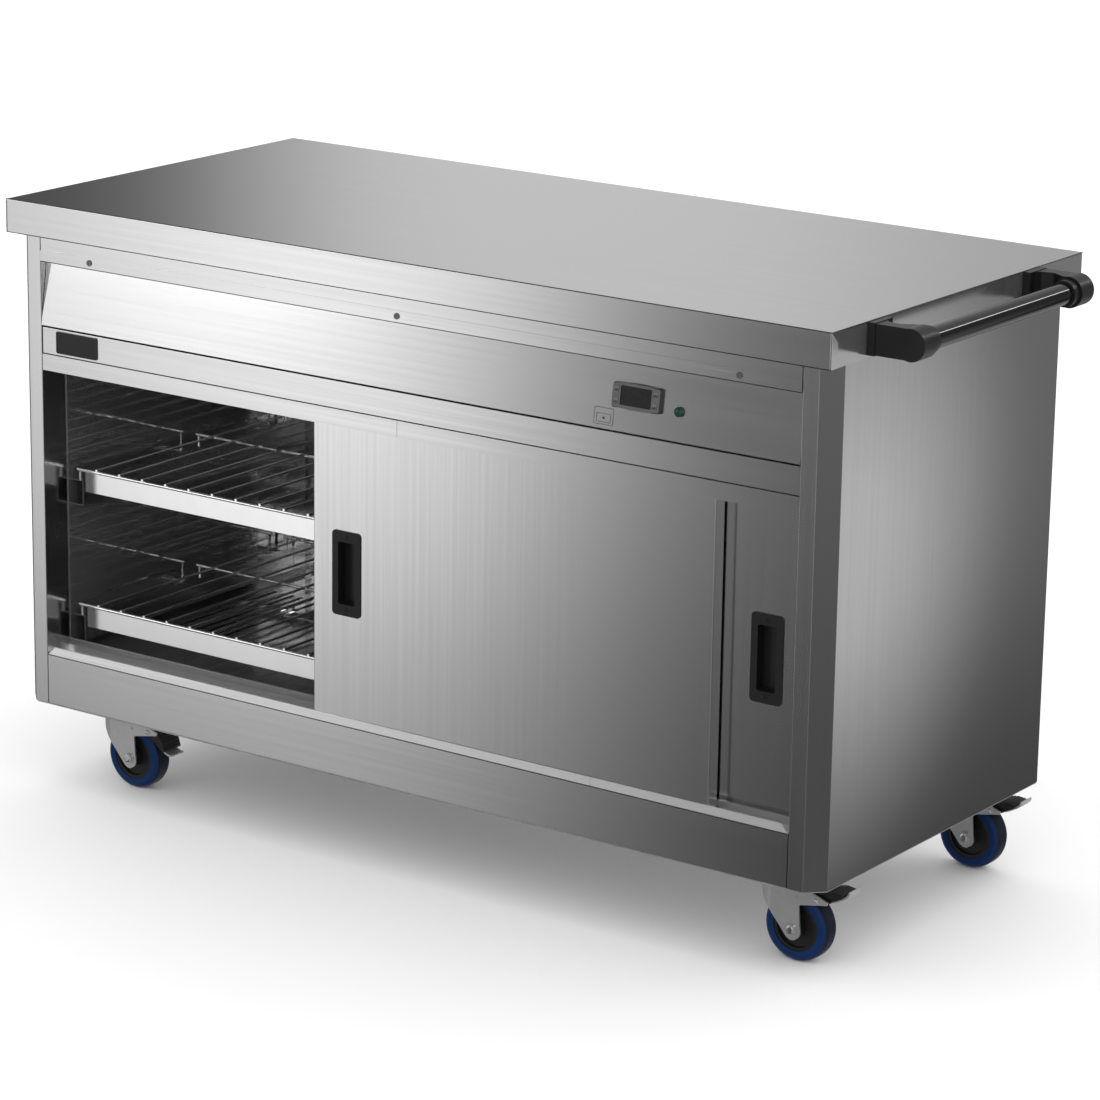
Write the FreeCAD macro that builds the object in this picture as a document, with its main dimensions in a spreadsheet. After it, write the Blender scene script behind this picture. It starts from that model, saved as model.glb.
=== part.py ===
"""Heated food holding cabinet: a mobile hot cupboard with two sliding doors.

Frame: +Z up, origin on the floor under the middle of the whole outline, the doors facing -Y,
the push handle on the +X end. Millimetres.
"""

import FreeCAD, Part
import math
import os
from types import SimpleNamespace

import Sketcher

Vector = FreeCAD.Vector
Rotation = FreeCAD.Rotation

# Driving dimensions, in millimetres and degrees. Each becomes a spreadsheet cell with this alias.
DIMENSIONS = {
    # Whole cabinet. mid_x is where the cabinet's mid-plane lies, because the handle adds length at one end.
    "mid_x": -43,
    "sheet": 1.2,
    "fold_radius": 1.5,
    # Worktop.
    "worktop_length": 1414,
    "worktop_depth": 665,
    "worktop_top": 900,
    "worktop_edge": 49,
    "corner_flap": 25,
    "flap_sheet": 1,
    # Body shell under the worktop.
    "front_setback": 16,
    "side_setback": 2.5,
    "back_setback": 55,
    "carcass_bottom": 134.5,
    "post_face": 24.5,
    "post_chamfer": 24,
    "jamb_depth": 51,
    "inner_return": 16,
    "base_sheet": 2,
    "panel_gap": 1.2,
    "pan_depth": 18,
    # Control panel: a screwed flange above a face that leans back as it rises.
    "flange_top": 828.5,
    "flange_bottom": 811.5,
    "panel_bottom": 716,
    "panel_tilt": 8.05,
    "panel_lip": 14,
    "flange_screw_radius": 3.9,
    "flange_screw_pitch": 560,
    "flange_screw_height": 820.5,
    # Fascia, badge and the door track above the opening.
    "fascia_top": 713,
    "fascia_bottom": 673.3,
    "fascia_recess": 1.5,
    "badge_length": 79,
    "badge_height": 33,
    "badge_middle": -588.75,
    "badge_lift": 0.4,
    "badge_proud": 1,
    "badge_radius": 3,
    "track_bottom": 648.3,
    "track_roof": 662,
    "track_wall_bottom": 650,
    "track_wall": 1.5,
    "track_seam": 0.6,
    # Kick panel and the door track below the opening.
    "sill_bottom": 210.5,
    "sill_lip_top": 223,
    "sill_floor": 212,
    "sill_wall_top": 224.5,
    "sill_lean": 1.7,
    "sill_mitre": 13,
    "sill_joint": 335,
    # Sliding doors.
    "door_width": 675.2,
    "door_bottom": 216.2,
    "door_top": 659,
    "door_thickness": 21,
    "door_setback": 4,
    "door_pitch": 24.5,
    "door_closed_gap": 0.4,
    "door_open_shift": 506,
    "inner_pan_depth": 5,
    "glide_length": 60,
    "glide_inset": 90,
    "glide_clearance": 0.3,
    # Flush door handle.
    "handle_inset": 59.4,
    "handle_height": 435.6,
    "handle_width": 50.4,
    "handle_length": 124,
    "handle_proud": 1.5,
    "handle_radius": 6,
    "cup_wall": 3,
    "cup_width": 29.3,
    "cup_length": 91.3,
    "cup_depth": 14,
    "cup_radius": 3,
    "handle_screw_offset": 53,
    "handle_screw_radius": 3.2,
    # Heated chamber.
    "liner_step": 1.5,
    "liner_back_y": 245,
    "liner_top": 664,
    "floor_top": 213.2,
    "stile_width": 48.5,
    "stile_depth": 8,
    "rail_width": 24.8,
    "rail_height": 38.5,
    "rail_top": 472.3,
    "shelf_pitch": 209.5,
    "rail_front": -260.5,
    "rail_back": 236.5,
    # Wire shelf.
    "cross_wire": 2.5,
    "long_wire": 2,
    "wire_pitch": 44.6,
    "cross_wire_height": 15.7,
    "weld_depth": 0.5,
    "shelf_half_length": 642,
    "shelf_front": -258,
    "shelf_middle": 15,
    "shelf_back": 228,
    "wire_tip": 4,
    "strip_thickness": 1.5,
    "strip_drop": 16.6,
    "strip_half_length": 626.5,
    # Thermostat and lamp.
    "thermostat_middle": 397,
    "thermostat_rise": 48.5,
    "thermostat_length": 75,
    "thermostat_height": 34,
    "thermostat_proud": 5.5,
    "thermostat_body_length": 70,
    "thermostat_body_height": 28,
    "thermostat_body_depth": 50,
    "window_length": 49,
    "window_height": 27,
    "window_depth": 2,
    "button_length": 6.4,
    "button_height": 4.4,
    "button_deep": 3,
    "button_proud": 0.8,
    "button_gap": 0.3,
    "button_well": 4.4,
    "button_across": 31,
    "button_up": 8,
    "lamp_middle": 464,
    "lamp_rise": 39.5,
    "lamp_radius": 6.8,
    "lamp_proud": 3,
    "lamp_body_radius": 5,
    "lamp_body_depth": 22,
    # Fan and heating element under the chamber floor.
    "fan_radius": 72,
    "fan_bottom": 178,
    "fan_top": 198,
    "fan_hub_radius": 20,
    "fan_blade": 1.5,
    "fan_shaft_radius": 3,
    "running_gap": 0.05,
    "motor_radius": 38,
    "motor_top": 172,
    "motor_bottom": 136.5,
    "element_ring": 95,
    "element_radius": 4,
    "element_height": 188,
    "element_lead": 150,
    "grille_length": 150,
    "grille_slot": 8,
    "grille_pitch": 18,
    # Push handle.
    "bracket_top": 899.5,
    "bracket_bottom": 855.5,
    "bracket_end": 226,
    "bracket_root_width": 44,
    "bracket_plate": 12,
    "bracket_step": 1,
    "boss_radius": 22,
    "boss_length": 33,
    "collar_radius": 18.5,
    "collar_length": 14,
    "handle_out": 64,
    "tube_radius": 15,
    "tube_seat": 20,
    # Cable gland.
    "gland_x": 600,
    "gland_height": 185,
    "gland_radius": 11,
    "gland_length": 20,
    "gland_bore": 4.5,
    # Castors.
    "castor_x": 590,
    "castor_front": -225,
    "castor_back": 243,
    "castor_trail": 34,
    "wheel_radius": 50,
    "wheel_width": 32,
    "rim_radius": 35,
    "hub_width": 44,
    "hub_radius": 13,
    "axle_radius": 6,
    "axle_head": 8,
    "axle_head_thick": 4,
    "fork_inside": 46,
    "fork_sheet": 2.5,
    "fork_top": 117,
    "fork_crown_radius": 33,
    "fork_rivet_x": 40,
    "fork_rivet_z": 98,
    "fork_rivet_radius": 2.2,
    "plate_length": 95,
    "plate_width": 67,
    "plate_thick": 3,
    "plate_bolt_x": 75,
    "plate_bolt_y": 45,
    "bolt_radius": 4,
    "bolt_hole_radius": 4.3,
    "bolt_head_radius": 7.4,
    "bolt_head_thick": 5,
    "race_radius": 30,
    "race_bottom": 121,
    "race_gap": 0.3,
    "king_pin_radius": 6,
    "king_pin_nut_radius": 10,
    "king_pin_nut_thick": 6,
    "pedal_pivot_x": 72,
    "pedal_pivot_z": 98,
    "pedal_pin_radius": 3,
    "pedal_width": 38,
    "pedal_tip_width": 28,
    "pedal_rise": 20,
    "pedal_throw": 65,
}

document = FreeCAD.newDocument("holding_cabinet")


class Size(float):
    """A number that keeps the spreadsheet formula it came from."""

    def __new__(cls, value, text):
        made = super().__new__(cls, value)
        made.text = text
        return made

    def _join(self, other, sign, value, swap=False):
        parts = (text_of(other), self.text) if swap else (self.text, text_of(other))
        return Size(value, "(%s %s %s)" % (parts[0], sign, parts[1]))

    def __add__(self, other):
        return self._join(other, "+", float(self) + float(other))

    def __radd__(self, other):
        return self._join(other, "+", float(self) + float(other), swap=True)

    def __sub__(self, other):
        return self._join(other, "-", float(self) - float(other))

    def __rsub__(self, other):
        return self._join(other, "-", float(other) - float(self), swap=True)

    def __mul__(self, other):
        return self._join(other, "*", float(self) * float(other))

    def __rmul__(self, other):
        return self._join(other, "*", float(self) * float(other), swap=True)

    def __truediv__(self, other):
        return self._join(other, "/", float(self) / float(other))

    def __neg__(self):
        return Size(-float(self), "(0 - %s)" % self.text)


def text_of(value):
    """Formula text of a Size or a plain number."""
    return value.text if isinstance(value, Size) else "(%r)" % float(value)


def tangent(angle):
    """Tangent of an angle in degrees, kept as a formula."""
    return Size(math.tan(math.radians(angle)), "tan(%s)" % text_of(angle))


def make_sheet():
    """Put every driving dimension in a spreadsheet cell and return them by name."""
    cells = document.addObject("Spreadsheet::Sheet", "sizes")
    named = {}
    for row, (alias, value) in enumerate(DIMENSIONS.items(), start=1):
        cells.set("A%d" % row, alias.replace("_", " "))
        cells.set("B%d" % row, str(value))
        cells.setAlias("B%d" % row, alias)
        named[alias] = Size(value, "sizes." + alias)
    document.recompute()
    return SimpleNamespace(**named)


size = make_sheet()

# Places that many sub-parts share, measured from the cabinet's mid-plane.
HALF_LENGTH = size.worktop_length / 2
HALF_DEPTH = size.worktop_depth / 2
EDGE_BOTTOM = size.worktop_top - size.worktop_edge
FRONT = size.front_setback - HALF_DEPTH
BACK = HALF_DEPTH - size.back_setback
SIDE = HALF_LENGTH - size.side_setback
OPENING = SIDE - size.post_chamfer - size.post_face
JAMB = FRONT + size.jamb_depth
LINER = OPENING - size.liner_step
DOOR_FACE = FRONT + size.door_setback
PANEL_RISE = size.flange_bottom - size.panel_bottom
PANEL_LEAN = PANEL_RISE * tangent(size.panel_tilt)
MOUNT_PLANE = size.carcass_bottom - size.base_sheet
ZERO = size.sheet * 0


# ---- general shape helpers ----


def bind(thing, field, value):
    """Tie a property of a document object to a formula."""
    thing.setExpression(field, text_of(value))


def box(x, y, z):
    """A block between two limits on each axis."""
    block = document.addObject("Part::Box", "block")
    for field, axis, (low, high) in zip(("Length", "Width", "Height"), "xyz", (x, y, z)):
        bind(block, field, high - low)
        bind(block, "Placement.Base." + axis, low)
    return block


TURNS = {"x": Rotation(Vector(0, 1, 0), 90), "y": Rotation(Vector(1, 0, 0), -90), "z": Rotation()}


def rod(axis, at, radius, length):
    """A cylinder that starts at a point and runs along +axis."""
    round_bar = document.addObject("Part::Cylinder", "rod")
    round_bar.Placement = FreeCAD.Placement(Vector(), TURNS[axis])
    bind(round_bar, "Radius", radius)
    bind(round_bar, "Height", length)
    for letter, value in zip("xyz", at):
        bind(round_bar, "Placement.Base." + letter, value)
    return round_bar


def fuse(*pieces):
    """One solid from several that touch or overlap."""
    joined = document.addObject("Part::MultiFuse", "joined")
    joined.Shapes = list(pieces)
    joined.Refine = True
    return joined


def cut(base, *tools):
    """Take each tool away from the base."""
    taken = document.addObject("Part::Cut", "trimmed")
    taken.Base = base
    taken.Tool = fuse(*tools) if len(tools) > 1 else tools[0]
    return taken


def mirror(source, normal=(1, 0, 0)):
    """The same piece on the other side of a plane through the origin."""
    image = document.addObject("Part::Mirroring", "mirrored")
    image.Source = source
    image.Normal = Vector(*normal)
    return image


def new_body():
    return document.addObject("PartDesign::Body", "body")


def plane_of(body, role):
    return next(f for f in body.Origin.OriginFeatures if f.Role == role)


PLANES = {"z": ("XY_Plane", "z"), "x": ("YZ_Plane", "x"), "y": ("XZ_Plane", "y")}


def sketch_on(body, role, corners):
    """A closed outline of straight sides, each corner held by two bound distances."""
    sketch = body.newObject("Sketcher::SketchObject", "outline")
    sketch.AttachmentSupport = [(plane_of(body, role), "")]
    sketch.MapMode = "FlatFace"
    count = len(corners)
    points = [Vector(float(u), float(v), 0) for u, v in corners]
    for index in range(count):
        sketch.addGeometry(Part.LineSegment(points[index], points[(index + 1) % count]), False)
    for index in range(count):
        sketch.addConstraint(Sketcher.Constraint("Coincident", index, 2, (index + 1) % count, 1))
    for index, corner in enumerate(corners):
        for kind, value in zip(("DistanceX", "DistanceY"), corner):
            number = sketch.addConstraint(Sketcher.Constraint(kind, index, 1, float(value)))
            bind(sketch, "Constraints[%d]" % number, value)
    return sketch


def prism(axis, corners, span):
    """A straight-sided outline padded along one axis between two limits.

    The outline's coordinates are (Y, Z) for axis x, (X, Z) for axis y and (X, Y) for axis z.
    """
    low, high = span
    role, letter = PLANES[axis]
    body = new_body()
    pad = body.newObject("PartDesign::Pad", "pad")
    pad.Profile = sketch_on(body, role, corners)
    bind(pad, "Length", high - low)
    bind(body, "Placement.Base." + letter, high if axis == "y" else low)
    return body


def turned(corners):
    """A closed (radius, height) outline turned about Z."""
    body = new_body()
    sketch = sketch_on(body, "XZ_Plane", corners)
    spun = body.newObject("PartDesign::Revolution", "turned")
    spun.Profile = sketch
    spun.ReferenceAxis = (sketch, ["V_Axis"])
    spun.Angle = 360
    return body


def face_towards(shape, direction):
    """Name of the flat face that lies furthest along a direction."""
    reach = [face.CenterOfMass.dot(Vector(*direction)) for face in shape.Faces]
    flat = [index for index, face in enumerate(shape.Faces) if face.Surface.TypeId == "Part::GeomPlane"]
    best = max(flat, key=lambda index: reach[index])
    return "Face%d" % (best + 1)


def edges_along(shape, axis, keep=lambda middle: True):
    """Names of the straight edges parallel to an axis whose middles pass a test."""
    wanted = []
    direction = Vector(*axis)
    for index, edge in enumerate(shape.Edges):
        if edge.Curve.TypeId != "Part::GeomLine":
            continue
        along = (edge.Vertexes[-1].Point - edge.Vertexes[0].Point).normalize()
        if abs(abs(along.dot(direction)) - 1) < 1e-6 and keep(edge.CenterOfMass):
            wanted.append("Edge%d" % (index + 1))
    return wanted


def round_edges(body, names, radius):
    """Fillet named edges of a body's last feature."""
    base = body.Tip
    fillet = body.newObject("PartDesign::Fillet", "rounded")
    fillet.Base = (base, names)
    bind(fillet, "Radius", radius)
    document.recompute()
    return fillet


def block_body(x, y, z):
    """A body holding one block, ready for fillets and shelling."""
    body = new_body()
    block = body.newObject("PartDesign::AdditiveBox", "block")
    for field, axis, (low, high) in zip(("Length", "Width", "Height"), "xyz", (x, y, z)):
        bind(block, field, high - low)
        bind(body, "Placement.Base." + axis, low)
    document.recompute()
    return body


def shell(body, open_side, wall):
    """Hollow a body inwards, leaving it open on one side."""
    base = body.Tip
    hollow = body.newObject("PartDesign::Thickness", "hollow")
    hollow.Base = (base, [face_towards(base.Shape, open_side)])
    hollow.Reversed = True
    bind(hollow, "Value", wall)
    document.recompute()
    return body


def pan(x, y, z, open_side, rounded=(), radius=None):
    """A folded sheet pan: a block hollowed from one side, with chosen outer edges rounded."""
    body = shell(block_body(x, y, z), open_side, size.sheet)
    for axis, keep in rounded:
        round_edges(body, edges_along(body.Tip.Shape, axis, keep), radius or size.fold_radius)
    return body


def rounded_block(x, y, z, axis, radius):
    """A block whose edges along one axis are rounded."""
    body = block_body(x, y, z)
    round_edges(body, edges_along(body.Tip.Shape, axis), radius)
    return body


NODES = []


def node(name, *pieces, x=ZERO, y=ZERO, z=ZERO, turn=None):
    """Give one sub-part its name and its place. turn is (axis, angle in degrees)."""
    part = document.addObject("Part::Compound", name)
    part.Label = name
    part.Links = list(pieces)
    if turn:
        part.Placement = FreeCAD.Placement(Vector(), Rotation(Vector(*turn[0]), float(turn[1])))
        bind(part, "Placement.Rotation.Angle", turn[1])
    bind(part, "Placement.Base.x", x + size.mid_x)
    bind(part, "Placement.Base.y", y)
    bind(part, "Placement.Base.z", z)
    NODES.append(part)
    return part


def both_signs(value):
    return (-value, value + ZERO)


def span_about(middle, length):
    """Two limits a length apart about a middle."""
    return (middle - length / 2, middle + length / 2)


# ---- worktop and body shell ----


def worktop():
    """Folded top with a deep edge on all sides and a lapped flap round each front corner."""
    top = size.worktop_top
    side = HALF_LENGTH - size.flap_sheet
    skin = shell(
        block_body((-side, side), (-HALF_DEPTH, HALF_DEPTH), (EDGE_BOTTOM, top)), (0, 0, -1), size.sheet
    )
    long_side = float(side) * 2 - 0.5
    long_end = float(size.worktop_depth) - 0.5
    near_top = float(size.worktop_edge) - 0.5
    uprights = edges_along(
        skin.Tip.Shape,
        (0, 0, 1),
        lambda middle: not 0.5 < middle.x < long_side and not 0.5 < middle.y < long_end,
    )
    round_edges(skin, uprights, size.fold_radius)
    ring = [
        name
        for axis in ((1, 0, 0), (0, 1, 0))
        for name in edges_along(skin.Tip.Shape, axis, lambda middle: middle.z > near_top)
    ]
    round_edges(skin, ring, size.fold_radius * 0.8)
    inner = HALF_LENGTH - size.inner_return
    inner_y = HALF_DEPTH - size.inner_return
    wall = side - size.sheet / 2
    wall_y = HALF_DEPTH - size.sheet / 2
    lip = cut(
        box((-wall, wall), (-wall_y, wall_y), (EDGE_BOTTOM, EDGE_BOTTOM + size.sheet)),
        box((-inner, inner), (-inner_y, inner_y), (EDGE_BOTTOM - 1, EDGE_BOTTOM + 2 * size.sheet)),
    )
    front = size.fold_radius - HALF_DEPTH
    flap = prism(
        "x",
        [
            (front, EDGE_BOTTOM),
            (front + size.corner_flap, EDGE_BOTTOM),
            (front + size.corner_flap, top - size.corner_flap),
            (front, top - size.fold_radius),
        ],
        (side - size.sheet / 2, HALF_LENGTH),
    )
    node("worktop", fuse(skin, lip, flap, mirror(flap)))


def side_panels():
    """Each side panel runs forward, round a chamfered front corner and back along the door jamb."""
    t = size.sheet
    bend = t * tangent(ZERO + 22.5)
    lip = size.inner_return
    outline = [
        (SIDE - lip, BACK),
        (SIDE, BACK),
        (SIDE, FRONT + size.post_chamfer),
        (SIDE - size.post_chamfer, FRONT),
        (OPENING, FRONT),
        (OPENING, JAMB),
        (OPENING + lip, JAMB),
        (OPENING + lip, JAMB - t),
        (OPENING + t, JAMB - t),
        (OPENING + t, FRONT + t),
        (SIDE - size.post_chamfer - bend, FRONT + t),
        (SIDE - t, FRONT + size.post_chamfer + bend),
        (SIDE - t, BACK - t),
        (SIDE - lip, BACK - t),
    ]
    panel = prism("z", outline, (size.carcass_bottom, EDGE_BOTTOM))
    document.recompute()
    front = float(FRONT) + 0.5
    opening = float(OPENING) + 0.5
    side = float(SIDE) - 0.5
    chamfer = float(FRONT + size.post_chamfer) + 0.5
    outer = edges_along(
        panel.Tip.Shape,
        (0, 0, 1),
        lambda middle: (middle.y < front and middle.x < opening)
        or (middle.y < front and middle.x > side - float(size.post_chamfer) - 1)
        or (middle.x > side and middle.y < chamfer),
    )
    round_edges(panel, outer, size.fold_radius * 0.6)
    node("side_panel_right", panel)
    node("side_panel_left", mirror(panel))


def rear_panel():
    """Flat rear panel with two rows of cooling slots and a hole for the cable gland."""
    across = both_signs(SIDE - 4)
    sheet = box(across, (BACK, BACK + size.sheet), (size.carcass_bottom + 4, EDGE_BOTTOM - 1))
    slots = []
    for row in range(2):
        for column in range(-5, 6):
            middle = ZERO + column * 70.0
            low = size.carcass_bottom + 22 + row * 14.0
            slots.append(box(span_about(middle, size.element_lead / 3), (BACK - 1, BACK + 3), (low, low + 5)))
    hole = rod("y", (size.gland_x, BACK - 1, size.gland_height), size.gland_radius * 0.7, ZERO + 4)
    node("rear_panel", cut(sheet, *slots, hole))


def castor_places():
    """Swivel axes: front left, front right, back left, back right."""
    return {
        "front_left": (-size.castor_x, size.castor_front),
        "front_right": (size.castor_x + ZERO, size.castor_front),
        "back_left": (-size.castor_x, size.castor_back),
        "back_right": (size.castor_x + ZERO, size.castor_back),
    }


def bolt_places():
    """The four bolt holes of one castor plate, from its swivel axis."""
    return [
        (i * size.plate_bolt_x / 2, j * size.plate_bolt_y / 2) for i in (-1, 1) for j in (-1, 1)
    ]


def base_panel():
    """Bottom plate with chamfered front corners, castor bolt holes and fan intake slots."""
    side = SIDE - size.sheet
    front = FRONT + size.sheet
    corner = size.post_chamfer
    outline = [
        (-side, BACK - size.sheet),
        (-side, front + corner),
        (corner - side, front),
        (side - corner, front),
        (side + ZERO, front + corner),
        (side + ZERO, BACK - size.sheet),
    ]
    plate = prism("z", outline, (MOUNT_PLANE, size.carcass_bottom))
    holes = []
    for x, y in castor_places().values():
        for i, j in bolt_places():
            holes.append(rod("z", (x + i, y + j, MOUNT_PLANE - 1), size.bolt_hole_radius, ZERO + 5))
    for column in range(-3, 4):
        middle = ZERO + column * size.grille_pitch
        slot = box(
            span_about(middle, size.grille_slot),
            span_about(ZERO - 120, size.grille_length / 2),
            (MOUNT_PLANE - 1, size.carcass_bottom + 1),
        )
        holes.append(slot)
    node("base_panel", cut(plate, *holes))


def front_pans():
    """The three folded strips across the front: top rail, fascia and kick panel."""
    across = both_signs(OPENING - size.panel_gap)
    back = (0, 1, 0)
    front_edges = [((1, 0, 0), lambda middle: middle.y < 1)]

    def strip(recess, low, high):
        depth = (FRONT + recess, FRONT + recess + size.pan_depth)
        return pan(across, depth, (low, high), back, front_edges, size.fold_radius * 0.6)

    rail = strip(ZERO, size.flange_bottom + size.sheet, EDGE_BOTTOM + ZERO)
    node("front_top_rail", cut(rail, *screw_holes()))
    node("fascia_panel", strip(size.fascia_recess, size.fascia_bottom, size.fascia_top))
    node("kick_panel", strip(ZERO, size.carcass_bottom, size.sill_bottom))


def control_panel():
    """Screwed flange folded back to a leaning face that carries the thermostat and the lamp."""
    t = size.sheet
    lean = tangent(size.panel_tilt)
    low = size.panel_bottom
    fold = size.flange_bottom
    # Bottom of the leaning face's front surface. The face runs back by PANEL_LEAN as it rises.
    toe = FRONT - 0.5
    across = t * 1.01
    outline = [
        (FRONT - t, size.flange_top),
        (FRONT - t, fold),
        (toe + PANEL_LEAN, fold),
        (toe, low),
        (FRONT + size.panel_lip, low),
        (FRONT + size.panel_lip, low + t),
        (toe + across + t * lean, low + t),
        (toe + across + PANEL_LEAN + t * lean, fold + t),
        (FRONT, fold + t),
        (FRONT, size.flange_top),
    ]
    sheet = prism("x", outline, both_signs(OPENING - size.panel_gap / 2))
    document.recompute()
    corner = float(size.flange_top) - 0.5
    corners = edges_along(sheet.Tip.Shape, (0, 1, 0), lambda middle: middle.z > corner)
    round_edges(sheet, corners, size.fold_radius * 2.5)
    lengths = (size.thermostat_body_length + 0.6, size.thermostat_body_height + 0.6)
    window = on_panel(
        box(both_signs(lengths[0] / 2), both_signs(lengths[1] / 2), both_signs(size.panel_lip)),
        size.thermostat_middle,
        size.thermostat_rise,
    )
    hole = on_panel(
        rod("z", (ZERO, ZERO, -size.panel_lip), size.lamp_body_radius + 0.3, size.panel_lip * 2),
        size.lamp_middle,
        size.lamp_rise,
    )
    node("control_panel", cut(sheet, window, hole, *screw_holes()))


def on_panel(piece, middle, rise, mid=ZERO):
    """Stand a piece, drawn with its face towards +Z, on the leaning face of the control panel."""
    holder = document.addObject("Part::Compound", "holder")
    holder.Links = [piece]
    angle = 90 - size.panel_tilt
    holder.Placement = FreeCAD.Placement(Vector(), Rotation(Vector(1, 0, 0), float(angle)))
    bind(holder, "Placement.Rotation.Angle", angle)
    bind(holder, "Placement.Base.x", middle + mid)
    bind(holder, "Placement.Base.y", FRONT - 0.5 + rise * tangent(size.panel_tilt))
    bind(holder, "Placement.Base.z", size.panel_bottom + rise)
    return holder


def screw_columns():
    return [-size.flange_screw_pitch, ZERO, size.flange_screw_pitch + ZERO]


def screw_holes():
    """Cutters for the clearance holes of the flange screws."""
    return [
        rod("y", (x, FRONT - 3, size.flange_screw_height), size.flange_screw_radius * 0.55, ZERO + 5)
        for x in screw_columns()
    ]


def panel_screws():
    """Three cross-head screws through the flange into the top rail."""
    radius = size.flange_screw_radius
    heads = []
    for x in screw_columns():
        face = FRONT - size.sheet
        head = rod("y", (x, face - 1.6, size.flange_screw_height), radius, ZERO + 1.6)
        shank = rod("y", (x, face, size.flange_screw_height), radius * 0.5, ZERO + 2.3)
        slots = [
            box(span_about(x, a), (face - 2, face - 0.9), span_about(size.flange_screw_height, b))
            for a, b in ((radius, ZERO + 0.9), (ZERO + 0.9, radius))
        ]
        heads.append(cut(fuse(head, shank), *slots))
    node("panel_screws", *heads)


def badge_plate():
    """Plain name plate with no mark on it."""
    face = FRONT + size.fascia_recess
    middle = (size.fascia_top + size.fascia_bottom) / 2 + size.badge_lift
    plate = rounded_block(
        span_about(size.badge_middle, size.badge_length),
        (face - size.badge_proud, face + ZERO),
        span_about(middle, size.badge_height),
        (0, 1, 0),
        size.badge_radius,
    )
    node("badge_plate", plate)


def track_walls():
    """Back surfaces of the middle and rear track walls."""
    middle = DOOR_FACE + size.door_pitch - (size.door_pitch - size.door_thickness - size.track_wall) / 2
    return middle, JAMB


def top_track():
    """Two equal lengths of downward double channel that the doors stand up into."""
    t = size.sheet
    wall = size.track_wall
    middle, rear = track_walls()
    roof = size.track_roof
    low = size.track_wall_bottom
    front = FRONT + 0.5
    outline = [
        (front, size.track_bottom),
        (front, size.fascia_bottom - 0.6),
        (front + t, size.fascia_bottom - 0.6),
        (front + t, roof + t),
        (rear, roof + t),
        (rear, low),
        (rear - t, low),
        (rear - t, roof),
        (middle, roof),
        (middle, low),
        (middle - wall, low),
        (middle - wall, roof),
        (front + t, roof),
        (front + t, size.track_bottom),
    ]
    seam = size.track_seam / 2
    right = prism("x", outline, (seam, OPENING - size.panel_gap / 2))
    node("top_track", right, mirror(right))


def sill_track():
    """A long and a short length of upward double channel, its front lip mitred at both ends."""
    t = size.sheet
    wall = size.track_wall
    middle, rear = track_walls()
    floor = size.sill_floor
    top = size.sill_wall_top
    front = FRONT + 0.3
    lean = size.sill_lean
    outline = [
        (front, size.sill_bottom),
        (front + lean, size.sill_lip_top),
        (front + lean + t, size.sill_lip_top),
        (front + t, floor + t),
        (middle - wall, floor + t),
        (middle - wall, top),
        (middle, top),
        (middle, floor + t),
        (rear - t, floor + t),
        (rear - t, top + 1),
        (rear, top + 1),
        (rear, floor),
        (front + t, floor),
        (front + t, size.sill_bottom),
    ]
    end = OPENING - size.panel_gap / 2
    seam = size.track_seam / 2
    mitre = size.sill_mitre
    corner = prism(
        "y",
        [
            (end + 1, size.sill_bottom - 1),
            (end + 1, size.sill_lip_top + 1),
            (end - mitre - 1, size.sill_lip_top + 1),
        ],
        (FRONT - 1, FRONT + 4),
    )
    long_piece = cut(prism("x", outline, (-end, size.sill_joint - seam)), mirror(corner))
    short_piece = cut(prism("x", outline, (size.sill_joint + seam, end + ZERO)), corner)
    node("sill_track", long_piece, short_piece)


# ---- heated chamber ----


def liners():
    """Chamber walls: two sides, back with corner stiles, top, and floor with air slots."""
    t = size.sheet
    bottom = size.floor_top
    depth = (JAMB, size.liner_back_y)
    side = box((LINER, LINER + t), depth, (bottom, size.liner_top))
    node("liner_right", side)
    node("liner_left", mirror(side))
    sheet = box(both_signs(LINER + t), (size.liner_back_y, size.liner_back_y + t), (bottom, size.liner_top))
    face = size.liner_back_y - size.stile_depth
    stile = box(
        (LINER - size.stile_width, LINER - 0.2),
        (face, size.liner_back_y + ZERO),
        (bottom, size.liner_top - 0.2),
    )
    node("liner_back", fuse(sheet, stile, mirror(stile)))
    whole = (JAMB, size.liner_back_y + t)
    node("liner_top", box(both_signs(LINER + t), whole, (size.liner_top, size.liner_top + t)))
    floor = box(both_signs(LINER + t), whole, (bottom - t, bottom + ZERO))
    slots = []
    for column in range(-4, 5):
        middle = ZERO + column * size.grille_pitch
        slots.append(air_slot(middle, size.grille_length))
    for side_sign in (-1, 1):
        for column in range(6):
            middle = side_sign * (LINER - 60 - column * size.grille_pitch)
            slots.append(air_slot(middle, size.grille_length * 2))
    node("liner_floor", cut(floor, *slots))


def air_slot(middle, length):
    """Cutter for one slot through the chamber floor."""
    return box(
        span_about(middle, size.grille_slot),
        span_about(ZERO, length),
        (size.floor_top - 2 * size.sheet, size.floor_top + 1),
    )


def shelf_rails():
    """Four channels along the chamber sides, open towards the wall, that carry the shelves."""
    t = size.sheet
    top = size.rail_top
    low = top - size.rail_height
    inner = LINER - size.rail_width
    outline_x = (inner, LINER)
    depth = (size.rail_front, size.rail_back)
    hollow = box(
        (inner + t, LINER + 1), (size.rail_front - 1, size.rail_back + 1), (low + t, top - t)
    )
    upper = cut(box(outline_x, depth, (low, top + ZERO)), hollow)
    lower = lowered(upper)
    node("shelf_rails", upper, mirror(upper), lower, mirror(lower))


def lowered(piece):
    """The same piece one shelf lower."""
    holder = document.addObject("Part::Compound", "lowered")
    holder.Links = [piece]
    bind(holder, "Placement.Base.z", -size.shelf_pitch)
    return holder


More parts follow.
